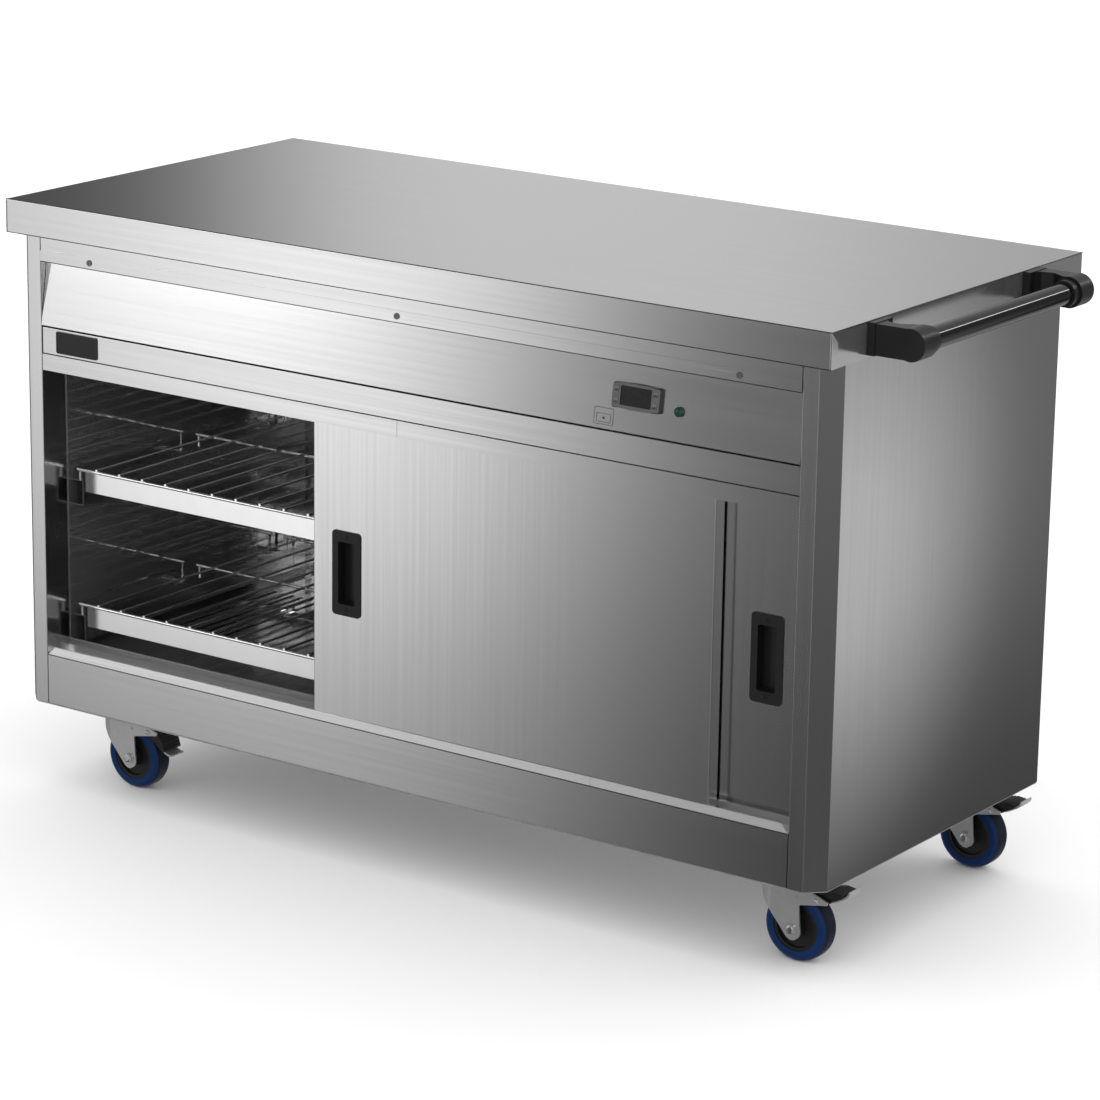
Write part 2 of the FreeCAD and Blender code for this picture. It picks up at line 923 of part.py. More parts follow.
def wire_shelf():
    """The solids of a wire shelf: welded grid, flat front strip and six short feet."""
    half = size.shelf_half_length
    rail = size.rail_top
    cross_z = rail + size.cross_wire_height
    under = cross_z - size.cross_wire
    columns = (size.shelf_front, size.shelf_middle, size.shelf_back)
    wires = [rod("x", (-half, y, cross_z), size.cross_wire, half * 2) for y in columns]
    long_z = cross_z + size.cross_wire + size.long_wire - size.weld_depth
    start = size.shelf_front - size.wire_tip
    run = size.shelf_back - size.shelf_front + 2 * size.wire_tip
    for step in range(14):
        across = (step + 0.5) * size.wire_pitch
        for x in both_signs(across):
            wires.append(rod("y", (x, start, long_z), size.long_wire, run))
    strip = box(
        both_signs(size.strip_half_length),
        span_about(size.shelf_front, size.strip_thickness),
        (rail - size.strip_drop, under),
    )
    feet = []
    for y in columns:
        foot = rod("z", (half - 2 * size.cross_wire, y, rail), size.cross_wire, under - rail)
        feet += [foot, mirror(foot)]
    return [fuse(*wires), strip, *feet]


def shelves():
    solids = wire_shelf()
    node("shelf_upper", *solids)
    node("shelf_lower", *solids, z=-size.shelf_pitch)


# ---- fan and heater ----


def fan_system():
    """Motor and centrifugal fan under the chamber floor, inside a ring element."""
    radius = size.motor_radius
    top = size.motor_top
    can = rod("z", (ZERO, ZERO, size.motor_bottom), radius, top - size.motor_bottom)
    foot = box(both_signs(radius + 20), both_signs(radius * 0.6), (size.carcass_bottom, size.motor_bottom + 1))
    bore = rod("z", (ZERO, ZERO, top - 20), size.fan_shaft_radius + size.running_gap, ZERO + 21)
    node("fan_motor", cut(fuse(can, foot), bore))

    low = size.fan_bottom
    high = size.fan_top
    hub = rod("z", (ZERO, ZERO, low), size.fan_hub_radius, high - low)
    disc = rod("z", (ZERO, ZERO, low), size.fan_radius, size.fan_blade + ZERO)
    shaft = rod("z", (ZERO, ZERO, top - 15), size.fan_shaft_radius, high - top + 10)
    blades = []
    for step in range(12):
        blade = box(
            (size.fan_hub_radius - 2, size.fan_radius - 1),
            span_about(ZERO, size.fan_blade),
            (low, high + ZERO),
        )
        blade.Placement = FreeCAD.Placement(Vector(), Rotation(Vector(0, 0, 1), 0))
        holder = document.addObject("Part::Compound", "blade")
        holder.Links = [blade]
        holder.Placement = FreeCAD.Placement(Vector(), Rotation(Vector(0, 0, 1), 30.0 * step))
        blades.append(holder)
    node("fan_impeller", fuse(hub, disc, shaft, *blades))

    ring = document.addObject("Part::Torus", "ring")
    bind(ring, "Radius1", size.element_ring)
    bind(ring, "Radius2", size.element_radius)
    bind(ring, "Placement.Base.z", size.element_height)
    leads = [
        rod("x", (size.element_ring * 0.98, y, size.element_height), size.element_radius, size.element_lead)
        for y in both_signs(size.element_radius * 3)
    ]
    block_x = size.element_ring + size.element_lead - 10
    stand = box(
        (block_x, block_x + 12),
        both_signs(size.element_radius * 5),
        (size.carcass_bottom, size.element_height + 10),
    )
    node("heating_element", fuse(ring, *leads, stand))


# ---- controls ----


def thermostat():
    """Panel thermostat: bezel and body, tinted window and four push buttons."""
    half_x = size.thermostat_length / 2
    half_y = size.thermostat_height / 2
    proud = size.thermostat_proud
    bezel = rounded_block(both_signs(half_x), both_signs(half_y), (ZERO, proud + ZERO), (0, 0, 1), ZERO + 3)
    body = box(
        both_signs(size.thermostat_body_length / 2),
        both_signs(size.thermostat_body_height / 2),
        (-size.thermostat_body_depth, ZERO + 0.5),
    )
    window_x = both_signs(size.window_length / 2)
    window_y = (1 - size.window_height / 2, 1 + size.window_height / 2)
    recess = box(window_x, window_y, (proud - size.window_depth, proud + 1))
    gap = size.button_gap
    wells = []
    for x, y in button_places():
        wells.append(
            box(
                span_about(x, size.button_length + 2 * gap),
                span_about(y, size.button_height + 2 * gap),
                (proud - size.button_well, proud + 1),
            )
        )
    place = dict(middle=size.thermostat_middle, rise=size.thermostat_rise)
    node("thermostat_housing", on_panel(cut(fuse(bezel, body), recess, *wells), **place))
    edge = ZERO + 0.1
    window = box(
        (window_x[0] + edge, window_x[1] - edge),
        (window_y[0] + edge, window_y[1] - edge),
        (proud - size.window_depth, proud - 0.5),
    )
    node("thermostat_window", on_panel(window, **place))
    for number, (x, y) in enumerate(button_places(), start=1):
        key = box(
            span_about(x, size.button_length),
            span_about(y, size.button_height),
            (proud + size.button_proud - size.button_deep, proud + size.button_proud),
        )
        node("thermostat_button_%d" % number, on_panel(key, **place))


def button_places():
    """Button centres from the middle of the bezel, left column first, upper key first."""
    return [
        (i * size.button_across, 1 + j * size.button_up) for i in (-1, 1) for j in (1, -1)
    ]


def indicator_lamp():
    """Round lens with a bevelled rim on a short threaded body."""
    radius = size.lamp_radius
    proud = size.lamp_proud
    body = size.lamp_body_radius
    lens = turned(
        [
            (ZERO, -size.lamp_body_depth),
            (body + ZERO, -size.lamp_body_depth),
            (body + ZERO, ZERO),
            (radius + ZERO, ZERO),
            (radius + ZERO, proud * 0.5),
            (radius * 0.8, proud * 0.9),
            (radius * 0.4, proud * 1.15),
            (ZERO, proud * 1.2),
        ]
    )
    node("indicator_lamp", on_panel(lens, size.lamp_middle, size.lamp_rise))


# ---- sliding doors ----


def door(name, left_edge, face, handle_from_left):
    """Double-skinned door: outer skin, inner pan, flush handle and bottom glides."""
    width = size.door_width
    low, high = size.door_bottom, size.door_top
    depth = size.door_thickness
    height = (low, high)
    upright = [((0, 0, 1), lambda middle: middle.y < 1)]
    skin = pan((ZERO, width), (ZERO, depth), height, (0, 1, 0), upright)
    handle_x = size.handle_inset if handle_from_left else width - size.handle_inset
    cup_half = size.cup_width / 2 + size.cup_wall
    cup_tall = size.cup_length / 2 + size.cup_wall
    hole = box(
        (handle_x - cup_half - 0.2, handle_x + cup_half + 0.2),
        (ZERO - 1, size.sheet * 2),
        (size.handle_height - cup_tall - 0.2, size.handle_height + cup_tall + 0.2),
    )
    node(name + "_skin", cut(skin, hole), x=left_edge, y=face)
    gap = size.sheet + ZERO
    inner = pan(
        (gap, width - gap), (depth - size.inner_pan_depth, depth), (low + gap, high - gap), (0, -1, 0)
    )
    cup_back = size.cup_depth + size.cup_wall * 0.6
    node(name + "_inner_pan", inner, x=left_edge, y=face)
    node(name + "_handle", door_handle(handle_x, cup_back), x=left_edge, y=face)
    thick = low - size.floor_top - size.glide_clearance
    glides = [
        box(
            span_about(x, size.glide_length),
            (ZERO + 2, depth - 2),
            (low - thick, low + ZERO),
        )
        for x in (size.glide_inset, width - size.glide_inset)
    ]
    node(name + "_glides", *glides, x=left_edge, y=face)


def door_handle(middle, cup_back):
    """Moulded flush handle: rounded plate, finger cup and two screw heads."""
    height = size.handle_height
    across = (0, 1, 0)
    plate = rounded_block(
        span_about(middle, size.handle_width),
        (-size.handle_proud, ZERO),
        span_about(height, size.handle_length),
        across,
        size.handle_radius,
    )
    cup = rounded_block(
        span_about(middle, size.cup_width + 2 * size.cup_wall),
        (ZERO - 0.5, cup_back),
        span_about(height, size.cup_length + 2 * size.cup_wall),
        across,
        size.cup_radius + size.cup_wall,
    )
    hollow = rounded_block(
        span_about(middle, size.cup_width),
        (ZERO - 5, size.cup_depth),
        span_about(height, size.cup_length),
        across,
        size.cup_radius,
    )
    screws = [
        rod(
            "y",
            (middle, -size.handle_proud - 0.1, height + sign * size.handle_screw_offset),
            size.handle_screw_radius,
            ZERO + 0.6,
        )
        for sign in (-1, 1)
    ]
    return fuse(cut(fuse(plate, cup), hollow), *screws)


def doors():
    """Left door in the front track, slid open to the right; right door closed in the rear track."""
    closed = OPENING - size.door_closed_gap
    door("door_left", size.door_open_shift - closed, DOOR_FACE, True)
    door("door_right", closed - size.door_width, DOOR_FACE + size.door_pitch, False)


# ---- push handle and gland ----


def push_handle():
    """Tube between two moulded brackets on the worktop's right edge, drawn about the handle's middle."""
    side = HALF_LENGTH - size.flap_sheet
    out = HALF_LENGTH + size.handle_out
    low, high = size.bracket_bottom, size.bracket_top
    middle = (low + high) / 2
    end = size.bracket_end
    root = size.bracket_plate
    step = size.bracket_step
    inner = size.boss_length - end
    plate = box((side, side + root), (-end, size.bracket_root_width - end), (low, high))
    arm = prism(
        "z",
        [
            (side + ZERO, step - end),
            (out + ZERO, step - end),
            (out + ZERO, inner),
            (out - 12, inner - 2),
            (side + 36, inner - 13),
            (side + root + 6, inner - 10),
            (side + root - 1, inner + ZERO),
            (side + ZERO, inner + ZERO),
        ],
        (low + step, high - step),
    )
    document.recompute()
    inside = edges_along(
        arm.Tip.Shape,
        (0, 0, 1),
        lambda point: float(side + root) < point.x < float(out) - 1 and point.y > 1 - float(end - step),
    )
    round_edges(arm, inside, ZERO + 6)
    boss = rod("y", (out, -end, middle), size.boss_radius, size.boss_length + ZERO)
    collar = rod("y", (out, inner - 1, middle), size.collar_radius, size.collar_length + 1)
    seat = rod("y", (out, inner - size.tube_seat, middle), size.tube_radius + 0.01, ZERO + 60)
    bracket = cut(fuse(plate, arm, boss, collar), seat)
    place = dict(y=(FRONT + BACK) / 2)
    node("push_handle_brackets", bracket, mirror(bracket, (0, 1, 0)), **place)
    reach = size.tube_seat - inner
    node("push_handle_tube", rod("y", (out, -reach, middle), size.tube_radius, reach * 2), **place)


def cable_gland():
    """Gland for the mains cable at the rear: hexagon nut outside, thread and nut inside."""
    hexagon = [
        (
            size.gland_x + size.gland_radius * math.cos(math.radians(60 * step)),
            size.gland_height + size.gland_radius * math.sin(math.radians(60 * step)),
        )
        for step in range(6)
    ]
    face = BACK + size.sheet
    nut = prism("y", hexagon, (face, face + 6))
    length = size.gland_length - 5
    cap = rod("y", (size.gland_x, face + 5, size.gland_height), size.gland_radius * 0.75, length)
    thread = rod("y", (size.gland_x, face - 14, size.gland_height), size.gland_radius * 0.68, ZERO + 15)
    inside = rod("y", (size.gland_x, BACK - 5, size.gland_height), size.gland_radius, ZERO + 5)
    bore = rod("y", (size.gland_x, face - 20, size.gland_height), size.gland_bore, ZERO + 60)
    node("cable_gland", cut(fuse(nut, cap, thread, inside), bore))


# ---- castors, drawn with the swivel axis on Z through the origin, trailing towards +X ----


def castor_plate():
    """Top plate with the upper ball race and the king pin."""
    top = MOUNT_PLANE
    plate = rounded_block(
        both_signs(size.plate_length / 2),
        both_signs(size.plate_width / 2),
        (top - size.plate_thick, top),
        (0, 0, 1),
        ZERO + 6,
    )
    race = rod("z", (ZERO, ZERO, size.race_bottom), size.race_radius, top - size.race_bottom - 1)
    pin_low = size.fork_top - size.fork_sheet - size.race_gap - size.king_pin_nut_thick
    pin = rod("z", (ZERO, ZERO, pin_low), size.king_pin_radius, top - pin_low - 1)
    nut = rod("z", (ZERO, ZERO, pin_low), size.king_pin_nut_radius, size.king_pin_nut_thick + ZERO)
    holes = [rod("z", (i, j, top - 5), size.bolt_hole_radius, ZERO + 8) for i, j in bolt_places()]
    return cut(fuse(plate, race, pin, nut), *holes)


def castor_bolt():
    """One bolt from below through plate and base, with its nut inside."""
    under = MOUNT_PLANE - size.plate_thick
    thick = size.bolt_head_thick
    head = rod("z", (ZERO, ZERO, under - thick), size.bolt_head_radius, thick + ZERO)
    shank = rod("z", (ZERO, ZERO, under - 1), size.bolt_radius, ZERO + 16)
    nut = rod("z", (ZERO, ZERO, size.carcass_bottom), size.bolt_head_radius, thick + ZERO)
    return fuse(head, shank, nut)


def castor_fork():
    """Pressed fork: a crown, two cheeks that wrap round the front and end in brake arms, and the axle."""
    t = size.fork_sheet
    inside = size.fork_inside / 2
    outside = inside + t
    top = size.fork_top
    trail = size.castor_trail
    axle = size.wheel_radius
    outline = [
        (ZERO - 27, top + ZERO),
        (ZERO - 24, top - 7),
        (trail - 49, axle + 38),
        (trail - 31, axle + 15),
        (trail - 20, axle + 2.5),
        (trail - 8, axle - 12),
        (trail - 2, axle - 15.5),
        (trail + 4, axle - 15.5),
        (trail + 11, axle - 11),
        (trail + 14.5, axle - 5),
        (trail + 13, axle + 6),
        (trail + 11, axle + 37),
        (trail + 54.5, axle + 45.5),
        (trail + 56, axle + 50),
        (trail + 43, axle + 54.5),
        (trail + 10, axle + 64),
        (trail + 4, top + ZERO),
    ]
    profile = prism("y", outline, both_signs(outside))
    document.recompute()
    lower = edges_along(profile.Tip.Shape, (0, 1, 0), lambda middle: middle.z < float(axle) + 39)
    round_edges(profile, lower, ZERO + 3)
    low = axle - 20
    reach = size.fork_crown_radius * 3
    channel = cut(
        fuse(
            rod("z", (ZERO, ZERO, low), outside, top - low),
            box((ZERO, reach), both_signs(outside), (low, top)),
        ),
        rod("z", (ZERO, ZERO, low - 1), inside, top - t - low + 1),
        box((ZERO, reach + 1), both_signs(inside), (low - 1, top - t)),
    )
    pressed = document.addObject("Part::Common", "pressed")
    pressed.Base = channel
    pressed.Tool = profile
    crown = rod("z", (ZERO, ZERO, top - t), size.fork_crown_radius, t + ZERO)
    race = rod("z", (ZERO, ZERO, top - 1), size.race_radius - 3, size.race_bottom - size.race_gap - top + 1)
    hole = rod("z", (ZERO, ZERO, top - 10), size.king_pin_radius + size.running_gap, ZERO + 30)
    pivot_hole = rod(
        "y",
        (size.pedal_pivot_x, -outside - 3, size.pedal_pivot_z),
        size.pedal_pin_radius + size.running_gap,
        outside * 2 + 6,
    )
    body = cut(fuse(pressed, crown, race), hole, pivot_hole)
    bolt = rod("y", (trail + ZERO, -outside - 1, axle + ZERO), size.axle_radius, outside * 2 + 2)
    ends = []
    for y in (-outside - size.axle_head_thick, outside + ZERO):
        ends.append(rod("y", (trail + ZERO, y, axle + ZERO), size.axle_head, size.axle_head_thick + ZERO))
    for y in (-outside - 1, inside + ZERO):
        ends.append(rod("y", (size.fork_rivet_x, y, size.fork_rivet_z), size.fork_rivet_radius, t + 1))
    return fuse(body, bolt, *ends)


def wheel_hub():
    """Moulded wheel centre with a running bore for the axle, drawn about Z."""
    half = size.wheel_width / 2
    boss = size.hub_width / 2
    bore = size.axle_radius + size.running_gap
    rim = size.rim_radius
    return turned(
        [
            (bore, -boss),
            (size.hub_radius + ZERO, -boss),
            (size.hub_radius + 1, 6 - half),
            (rim - 6, 6 - half),
            (rim - 5, 2 - half),
            (rim + ZERO, 2 - half),
            (rim + ZERO, half - 2),
            (rim - 5, half - 2),
            (rim - 6, half - 6),
            (size.hub_radius + 1, half - 6),
            (size.hub_radius + ZERO, boss + ZERO),
            (bore, boss + ZERO),
        ]
    )


def wheel_tyre():
    """Elastic tyre with rounded shoulders, drawn about Z."""
    half = size.wheel_width / 2
    rim = size.rim_radius
    tread = size.wheel_radius
    return turned(
        [
            (rim + ZERO, 1 - half),
            (rim + 8, -half),
            (tread - 6, 0.6 - half),
            (tread - 2.2, 3.2 - half),
            (tread - 0.4, 7 - half),
            (tread + ZERO, 11 - half),
            (tread + ZERO, half - 11),
            (tread - 0.4, half - 7),
            (tread - 2.2, half - 3.2),
            (tread - 6, half - 0.6),
            (rim + 8, half + ZERO),
            (rim + ZERO, half - 1),
        ]
    )


def brake_pedal():
    """Brake lever drawn level about its pivot: moulded pad on a steel plate with an upturned tip."""
    across = both_signs(size.pedal_width / 2)
    arm = prism(
        "y",
        [
            (ZERO - 5, ZERO + 4),
            (ZERO - 5, ZERO - 4),
            (ZERO + 8, ZERO - 7.5),
            (ZERO + 16, ZERO - 7.3),
            (ZERO + 16, ZERO + 6),
            (ZERO + 4, ZERO + 7),
        ],
        across,
    )
    pad = prism(
        "y",
        [
            (ZERO + 8, ZERO - 5.5),
            (ZERO + 25, ZERO - 5.2),
            (ZERO + 37, ZERO - 3.8),
            (ZERO + 38.5, ZERO + 0.5),
            (ZERO + 27, ZERO + 6.5),
            (ZERO + 14, ZERO + 9),
            (ZERO + 6, ZERO + 8),
        ],
        across,
    )
    document.recompute()
    round_edges(pad, edges_along(pad.Tip.Shape, (0, 1, 0), lambda middle: middle.x > 25), ZERO + 1.5)
    tip = prism(
        "y",
        [
            (ZERO + 8, ZERO - 7.5),
            (ZERO + 25, ZERO - 7.2),
            (ZERO + 40, ZERO - 4.9),
            (ZERO + 46, ZERO - 2.3),
            (ZERO + 49.5, ZERO + 1.5),
            (ZERO + 48.2, ZERO + 2.7),
            (ZERO + 45, ZERO - 0.6),
            (ZERO + 39, ZERO - 3.1),
            (ZERO + 25, ZERO - 5),
            (ZERO + 8, ZERO - 5.3),
        ],
        both_signs(size.pedal_tip_width / 2),
    )
    half = size.fork_inside / 2 + size.fork_sheet
    pin = rod("y", (ZERO, -half, ZERO), size.pedal_pin_radius, half * 2)
    return fuse(arm, pad, tip, pin)


def castors():
    """Four identical braked castors; the front left one is drawn with its brake pressed."""
    plate = castor_plate()
    bolt = castor_bolt()
    fork = castor_fork()
    hub = wheel_hub()
    tyre = wheel_tyre()
    pedal = brake_pedal()
    plates = []
    bolts = []
    sideways = ((1, 0, 0), ZERO + 90)
    for corner, (x, y) in castor_places().items():
        plates.append(shifted(plate, x, y))
        bolts += [shifted(bolt, x + i, y + j) for i, j in bolt_places()]
        axle_place = dict(x=x + size.castor_trail, y=y, z=size.wheel_radius + ZERO)
        node("castor_%s_fork" % corner, fork, x=x, y=y)
        node("castor_%s_hub" % corner, hub, turn=sideways, **axle_place)
        node("castor_%s_tyre" % corner, tyre, turn=sideways, **axle_place)
        lift = size.pedal_throw - size.pedal_rise if corner == "front_left" else -size.pedal_rise
        node(
            "castor_%s_pedal" % corner,
            pedal,
            x=x + size.pedal_pivot_x,
            y=y,
            z=size.pedal_pivot_z + ZERO,
            turn=((0, 1, 0), lift),
        )
    node("castor_plates", *plates)
    node("castor_bolts", *bolts)


def shifted(piece, x, y):
    """The same piece moved in the floor plane."""
    holder = document.addObject("Part::Compound", "shifted")
    holder.Links = [piece]
    bind(holder, "Placement.Base.x", x)
    bind(holder, "Placement.Base.y", y)
    return holder


# ---- build, check and write ----


def check(things):
    """Stop if any object failed, or if a sub-part has no valid solid."""
    for thing in document.Objects:
        if "Invalid" in thing.State or "Error" in thing.State:
            raise RuntimeError("%s (%s) failed: %s" % (thing.Name, thing.FullName, thing.State))
    for thing in things:
        shape = thing.Shape
        if shape.isNull() or not shape.isValid() or not shape.Solids:
            raise RuntimeError("%s has no valid solid" % thing.Label)


def main():
    worktop()
    side_panels()
    rear_panel()
    base_panel()
    front_pans()
    control_panel()
    panel_screws()
    badge_plate()
    top_track()
    sill_track()
    liners()
    shelf_rails()
    shelves()
    fan_system()
    thermostat()
    indicator_lamp()
    doors()
    push_handle()
    cable_gland()
    castors()
    document.recompute()
    check(NODES)
    os.makedirs("parts", exist_ok=True)
    for part in NODES:
        part.Shape.exportStep("parts/%s.step" % part.Label)
        bounds = part.Shape.BoundBox
        print(
            "%-28s solids %2d  x %7.1f %7.1f  y %7.1f %7.1f  z %7.1f %7.1f"
            % (
                part.Label,
                len(part.Shape.Solids),
                bounds.XMin,
                bounds.XMax,
                bounds.YMin,
                bounds.YMax,
                bounds.ZMin,
                bounds.ZMax,
            )
        )
    print("%d sub-parts" % len(NODES))


main()
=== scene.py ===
"""Looks of the heated holding cabinet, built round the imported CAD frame."""

import math

import bmesh
import bpy
from mathutils import Matrix, Vector


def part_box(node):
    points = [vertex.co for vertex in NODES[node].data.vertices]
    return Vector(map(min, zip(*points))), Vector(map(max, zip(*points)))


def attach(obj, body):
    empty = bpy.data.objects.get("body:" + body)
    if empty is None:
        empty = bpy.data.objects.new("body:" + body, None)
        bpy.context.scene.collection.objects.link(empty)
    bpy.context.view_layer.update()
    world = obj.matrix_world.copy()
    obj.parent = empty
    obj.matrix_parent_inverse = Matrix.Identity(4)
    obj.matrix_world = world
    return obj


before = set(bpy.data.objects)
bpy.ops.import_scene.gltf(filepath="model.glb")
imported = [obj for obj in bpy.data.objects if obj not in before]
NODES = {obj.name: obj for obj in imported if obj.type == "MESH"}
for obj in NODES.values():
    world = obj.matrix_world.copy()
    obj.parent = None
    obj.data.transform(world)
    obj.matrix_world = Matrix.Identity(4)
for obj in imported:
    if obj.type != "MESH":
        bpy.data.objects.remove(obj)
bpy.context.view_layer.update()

MM = 0.001
FRONT = (0, -1, 0)
UP = (0, 0, 1)
CASTORS = ("front_left", "front_right", "back_left", "back_right")


# ---- materials ----


def grey(value):
    return (value, value, value, 1)


class Shader:
    """A Principled material with a few node helpers. Constants go straight on its sockets."""

    def __init__(self, name, **constants):
        self.material = bpy.data.materials.new(name)
        self.material.use_nodes = True
        self.tree = self.material.node_tree
        self.bsdf = self.tree.nodes["Principled BSDF"]
        for socket, value in constants.items():
            self.bsdf.inputs[socket.replace("_", " ")].default_value = value
        self.coordinates = self.tree.nodes.new("ShaderNodeTexCoord").outputs["Object"]

    def node(self, kind, **settings):
        made = self.tree.nodes.new(kind)
        for key, value in settings.items():
            setattr(made, key, value)
        return made

    def link(self, source, target):
        self.tree.links.new(source, target)

    def noise(self, scale, stretch=(1, 1, 1), detail=3.0, rough=0.5):
        """Noise in metres of the part's own space, stretched per axis."""
        mapping = self.node("ShaderNodeMapping")
        mapping.inputs["Scale"].default_value = stretch
        self.link(self.coordinates, mapping.inputs["Vector"])
        made = self.node("ShaderNodeTexNoise")
        made.inputs["Scale"].default_value = scale
        made.inputs["Detail"].default_value = detail
        made.inputs["Roughness"].default_value = rough
        self.link(mapping.outputs["Vector"], made.inputs["Vector"])
        return made.outputs["Fac"]

    def facing(self, axis):
        """How squarely the surface faces along one of the part's axes, either way."""
        split = self.node("ShaderNodeSeparateXYZ")
        self.link(self.node("ShaderNodeTexCoord").outputs["Normal"], split.inputs["Vector"])
        size = self.node("ShaderNodeMath", operation="ABSOLUTE")
        self.link(split.outputs[axis], size.inputs[0])
        return size.outputs["Value"]

    def ramp(self, factor, low, high, start=0.0, end=1.0):
        """Map a factor to a colour or value between two ends."""
        made = self.node("ShaderNodeValToRGB")
        for element, place, colour in zip(made.color_ramp.elements, (start, end), (low, high)):
            element.position = place
            element.color = colour if isinstance(colour, tuple) else grey(colour)
        self.link(factor, made.inputs["Fac"])
        return made.outputs["Color"]

    def over_noise(self, noise, low, high):
        """Map a noise to a colour or value. Nearly all noise lies between these two stops."""
        return self.ramp(noise, low, high, start=0.3, end=0.7)

    def drive(self, socket, source):
        self.link(source, self.bsdf.inputs[socket])

    def bump(self, source, strength, distance):
        made = self.node("ShaderNodeBump")
        made.inputs["Strength"].default_value = strength
        made.inputs["Distance"].default_value = distance
        self.link(source, made.inputs["Height"])
        self.link(made.outputs["Normal"], self.bsdf.inputs["Normal"])


def brush(made, tone, roughness, grain, contrast=0.02, spread=0.008):
    """Brush marks in tone and roughness. Grain is the noise stretch, small along the brushing."""
    lines = made.noise(1.0, grain, detail=3.5, rough=0.6)
    dark, light = grey(tone * (1 - contrast)), grey(tone * (1 + contrast))
    made.drive("Base Color", made.over_noise(lines, dark, light))
    made.drive("Roughness", made.over_noise(lines, roughness + spread, roughness - spread))


def brushed(name, tone, roughness, grain, metal=1.0, waves=0.0, **marks):
    """Stainless sheet. Waves are the slow ripples of thin polished sheet."""
    made = Shader(name, Metallic=metal)
    brush(made, tone, roughness, grain, **marks)
    if waves:
        made.bump(made.noise(5.0, detail=1.0), strength=waves, distance=0.02)
    return made.material


def satin_ends(name, tone, roughness, grain, end_metal):
    """Brushed sheet whose folded end faces are duller than its flats."""
    made = Shader(name)
    brush(made, tone, roughness, grain)
    made.drive("Metallic", made.ramp(made.facing("X"), low=1.0, high=end_metal, start=0.75, end=0.95))
    return made.material


def plated(name, tone, metal, roughness, cells, contrast):
    """Zinc plate with the faint mottle of dipped or passivated sheet. Cells are per metre."""
    made = Shader(name, Metallic=metal)
    spangle = made.node("ShaderNodeTexVoronoi", feature="F1")
    spangle.inputs["Scale"].default_value = cells
    made.link(made.coordinates, spangle.inputs["Vector"])
    dark, light = grey(tone * (1 - contrast)), grey(tone * (1 + contrast))
    made.drive("Base Color", made.ramp(spangle.outputs["Color"], dark, light))
    blotches = made.noise(cells * 0.3)
    made.drive("Roughness", made.over_noise(blotches, roughness - 0.02, roughness + 0.02))
    return made.material


def plastic(name, colour, roughness, grain=900.0, depth=0.0002, shine=0.4):
    """Moulded plastic: a fine spark-eroded grain in colour and height."""
    made = Shader(name, Roughness=roughness, Specular_IOR_Level=shine)
    speck = made.noise(grain, detail=2.0)
    dark, light = [tuple(c * share for c in colour) + (1,) for share in (0.85, 1.15)]
    made.drive("Base Color", made.over_noise(speck, dark, light))
    made.bump(speck, strength=0.15, distance=depth)
    return made.material


def rubber(name, side, shaded_tread):
    """Elastic tyre: blue flanks and a tread painted darker as shade, blotched by slight scuff marks."""
    made = Shader(name, Roughness=0.5, Specular_IOR_Level=0.15)
    scuff = made.noise(260.0)
    edge = made.node("ShaderNodeMath", operation="MULTIPLY_ADD")
    edge.inputs[1].default_value = 0.25
    made.link(scuff, edge.inputs[0])
    made.link(made.facing("Y"), edge.inputs[2])
    # Faces square to Y get the blue; the tread gets the darker colour, which is painted shade.
    made.drive("Base Color", made.ramp(edge.outputs["Value"], shaded_tread, side, start=0.55, end=0.95))
    made.bump(scuff, strength=0.2, distance=0.0002)
    return made.material


STEEL = 0.62
SATIN = 0.16
# Noise per metre on each axis. Brush marks run along the axis where it is low.
ALONG_X = (1.5, 150, 150)
ALONG_Y = (150, 1.5, 150)
ALONG_Z = (150, 150, 1.5)
POLISHED = (30, 30, 2)
LINER_MARKS = {"contrast": 0.03, "spread": 0.01}

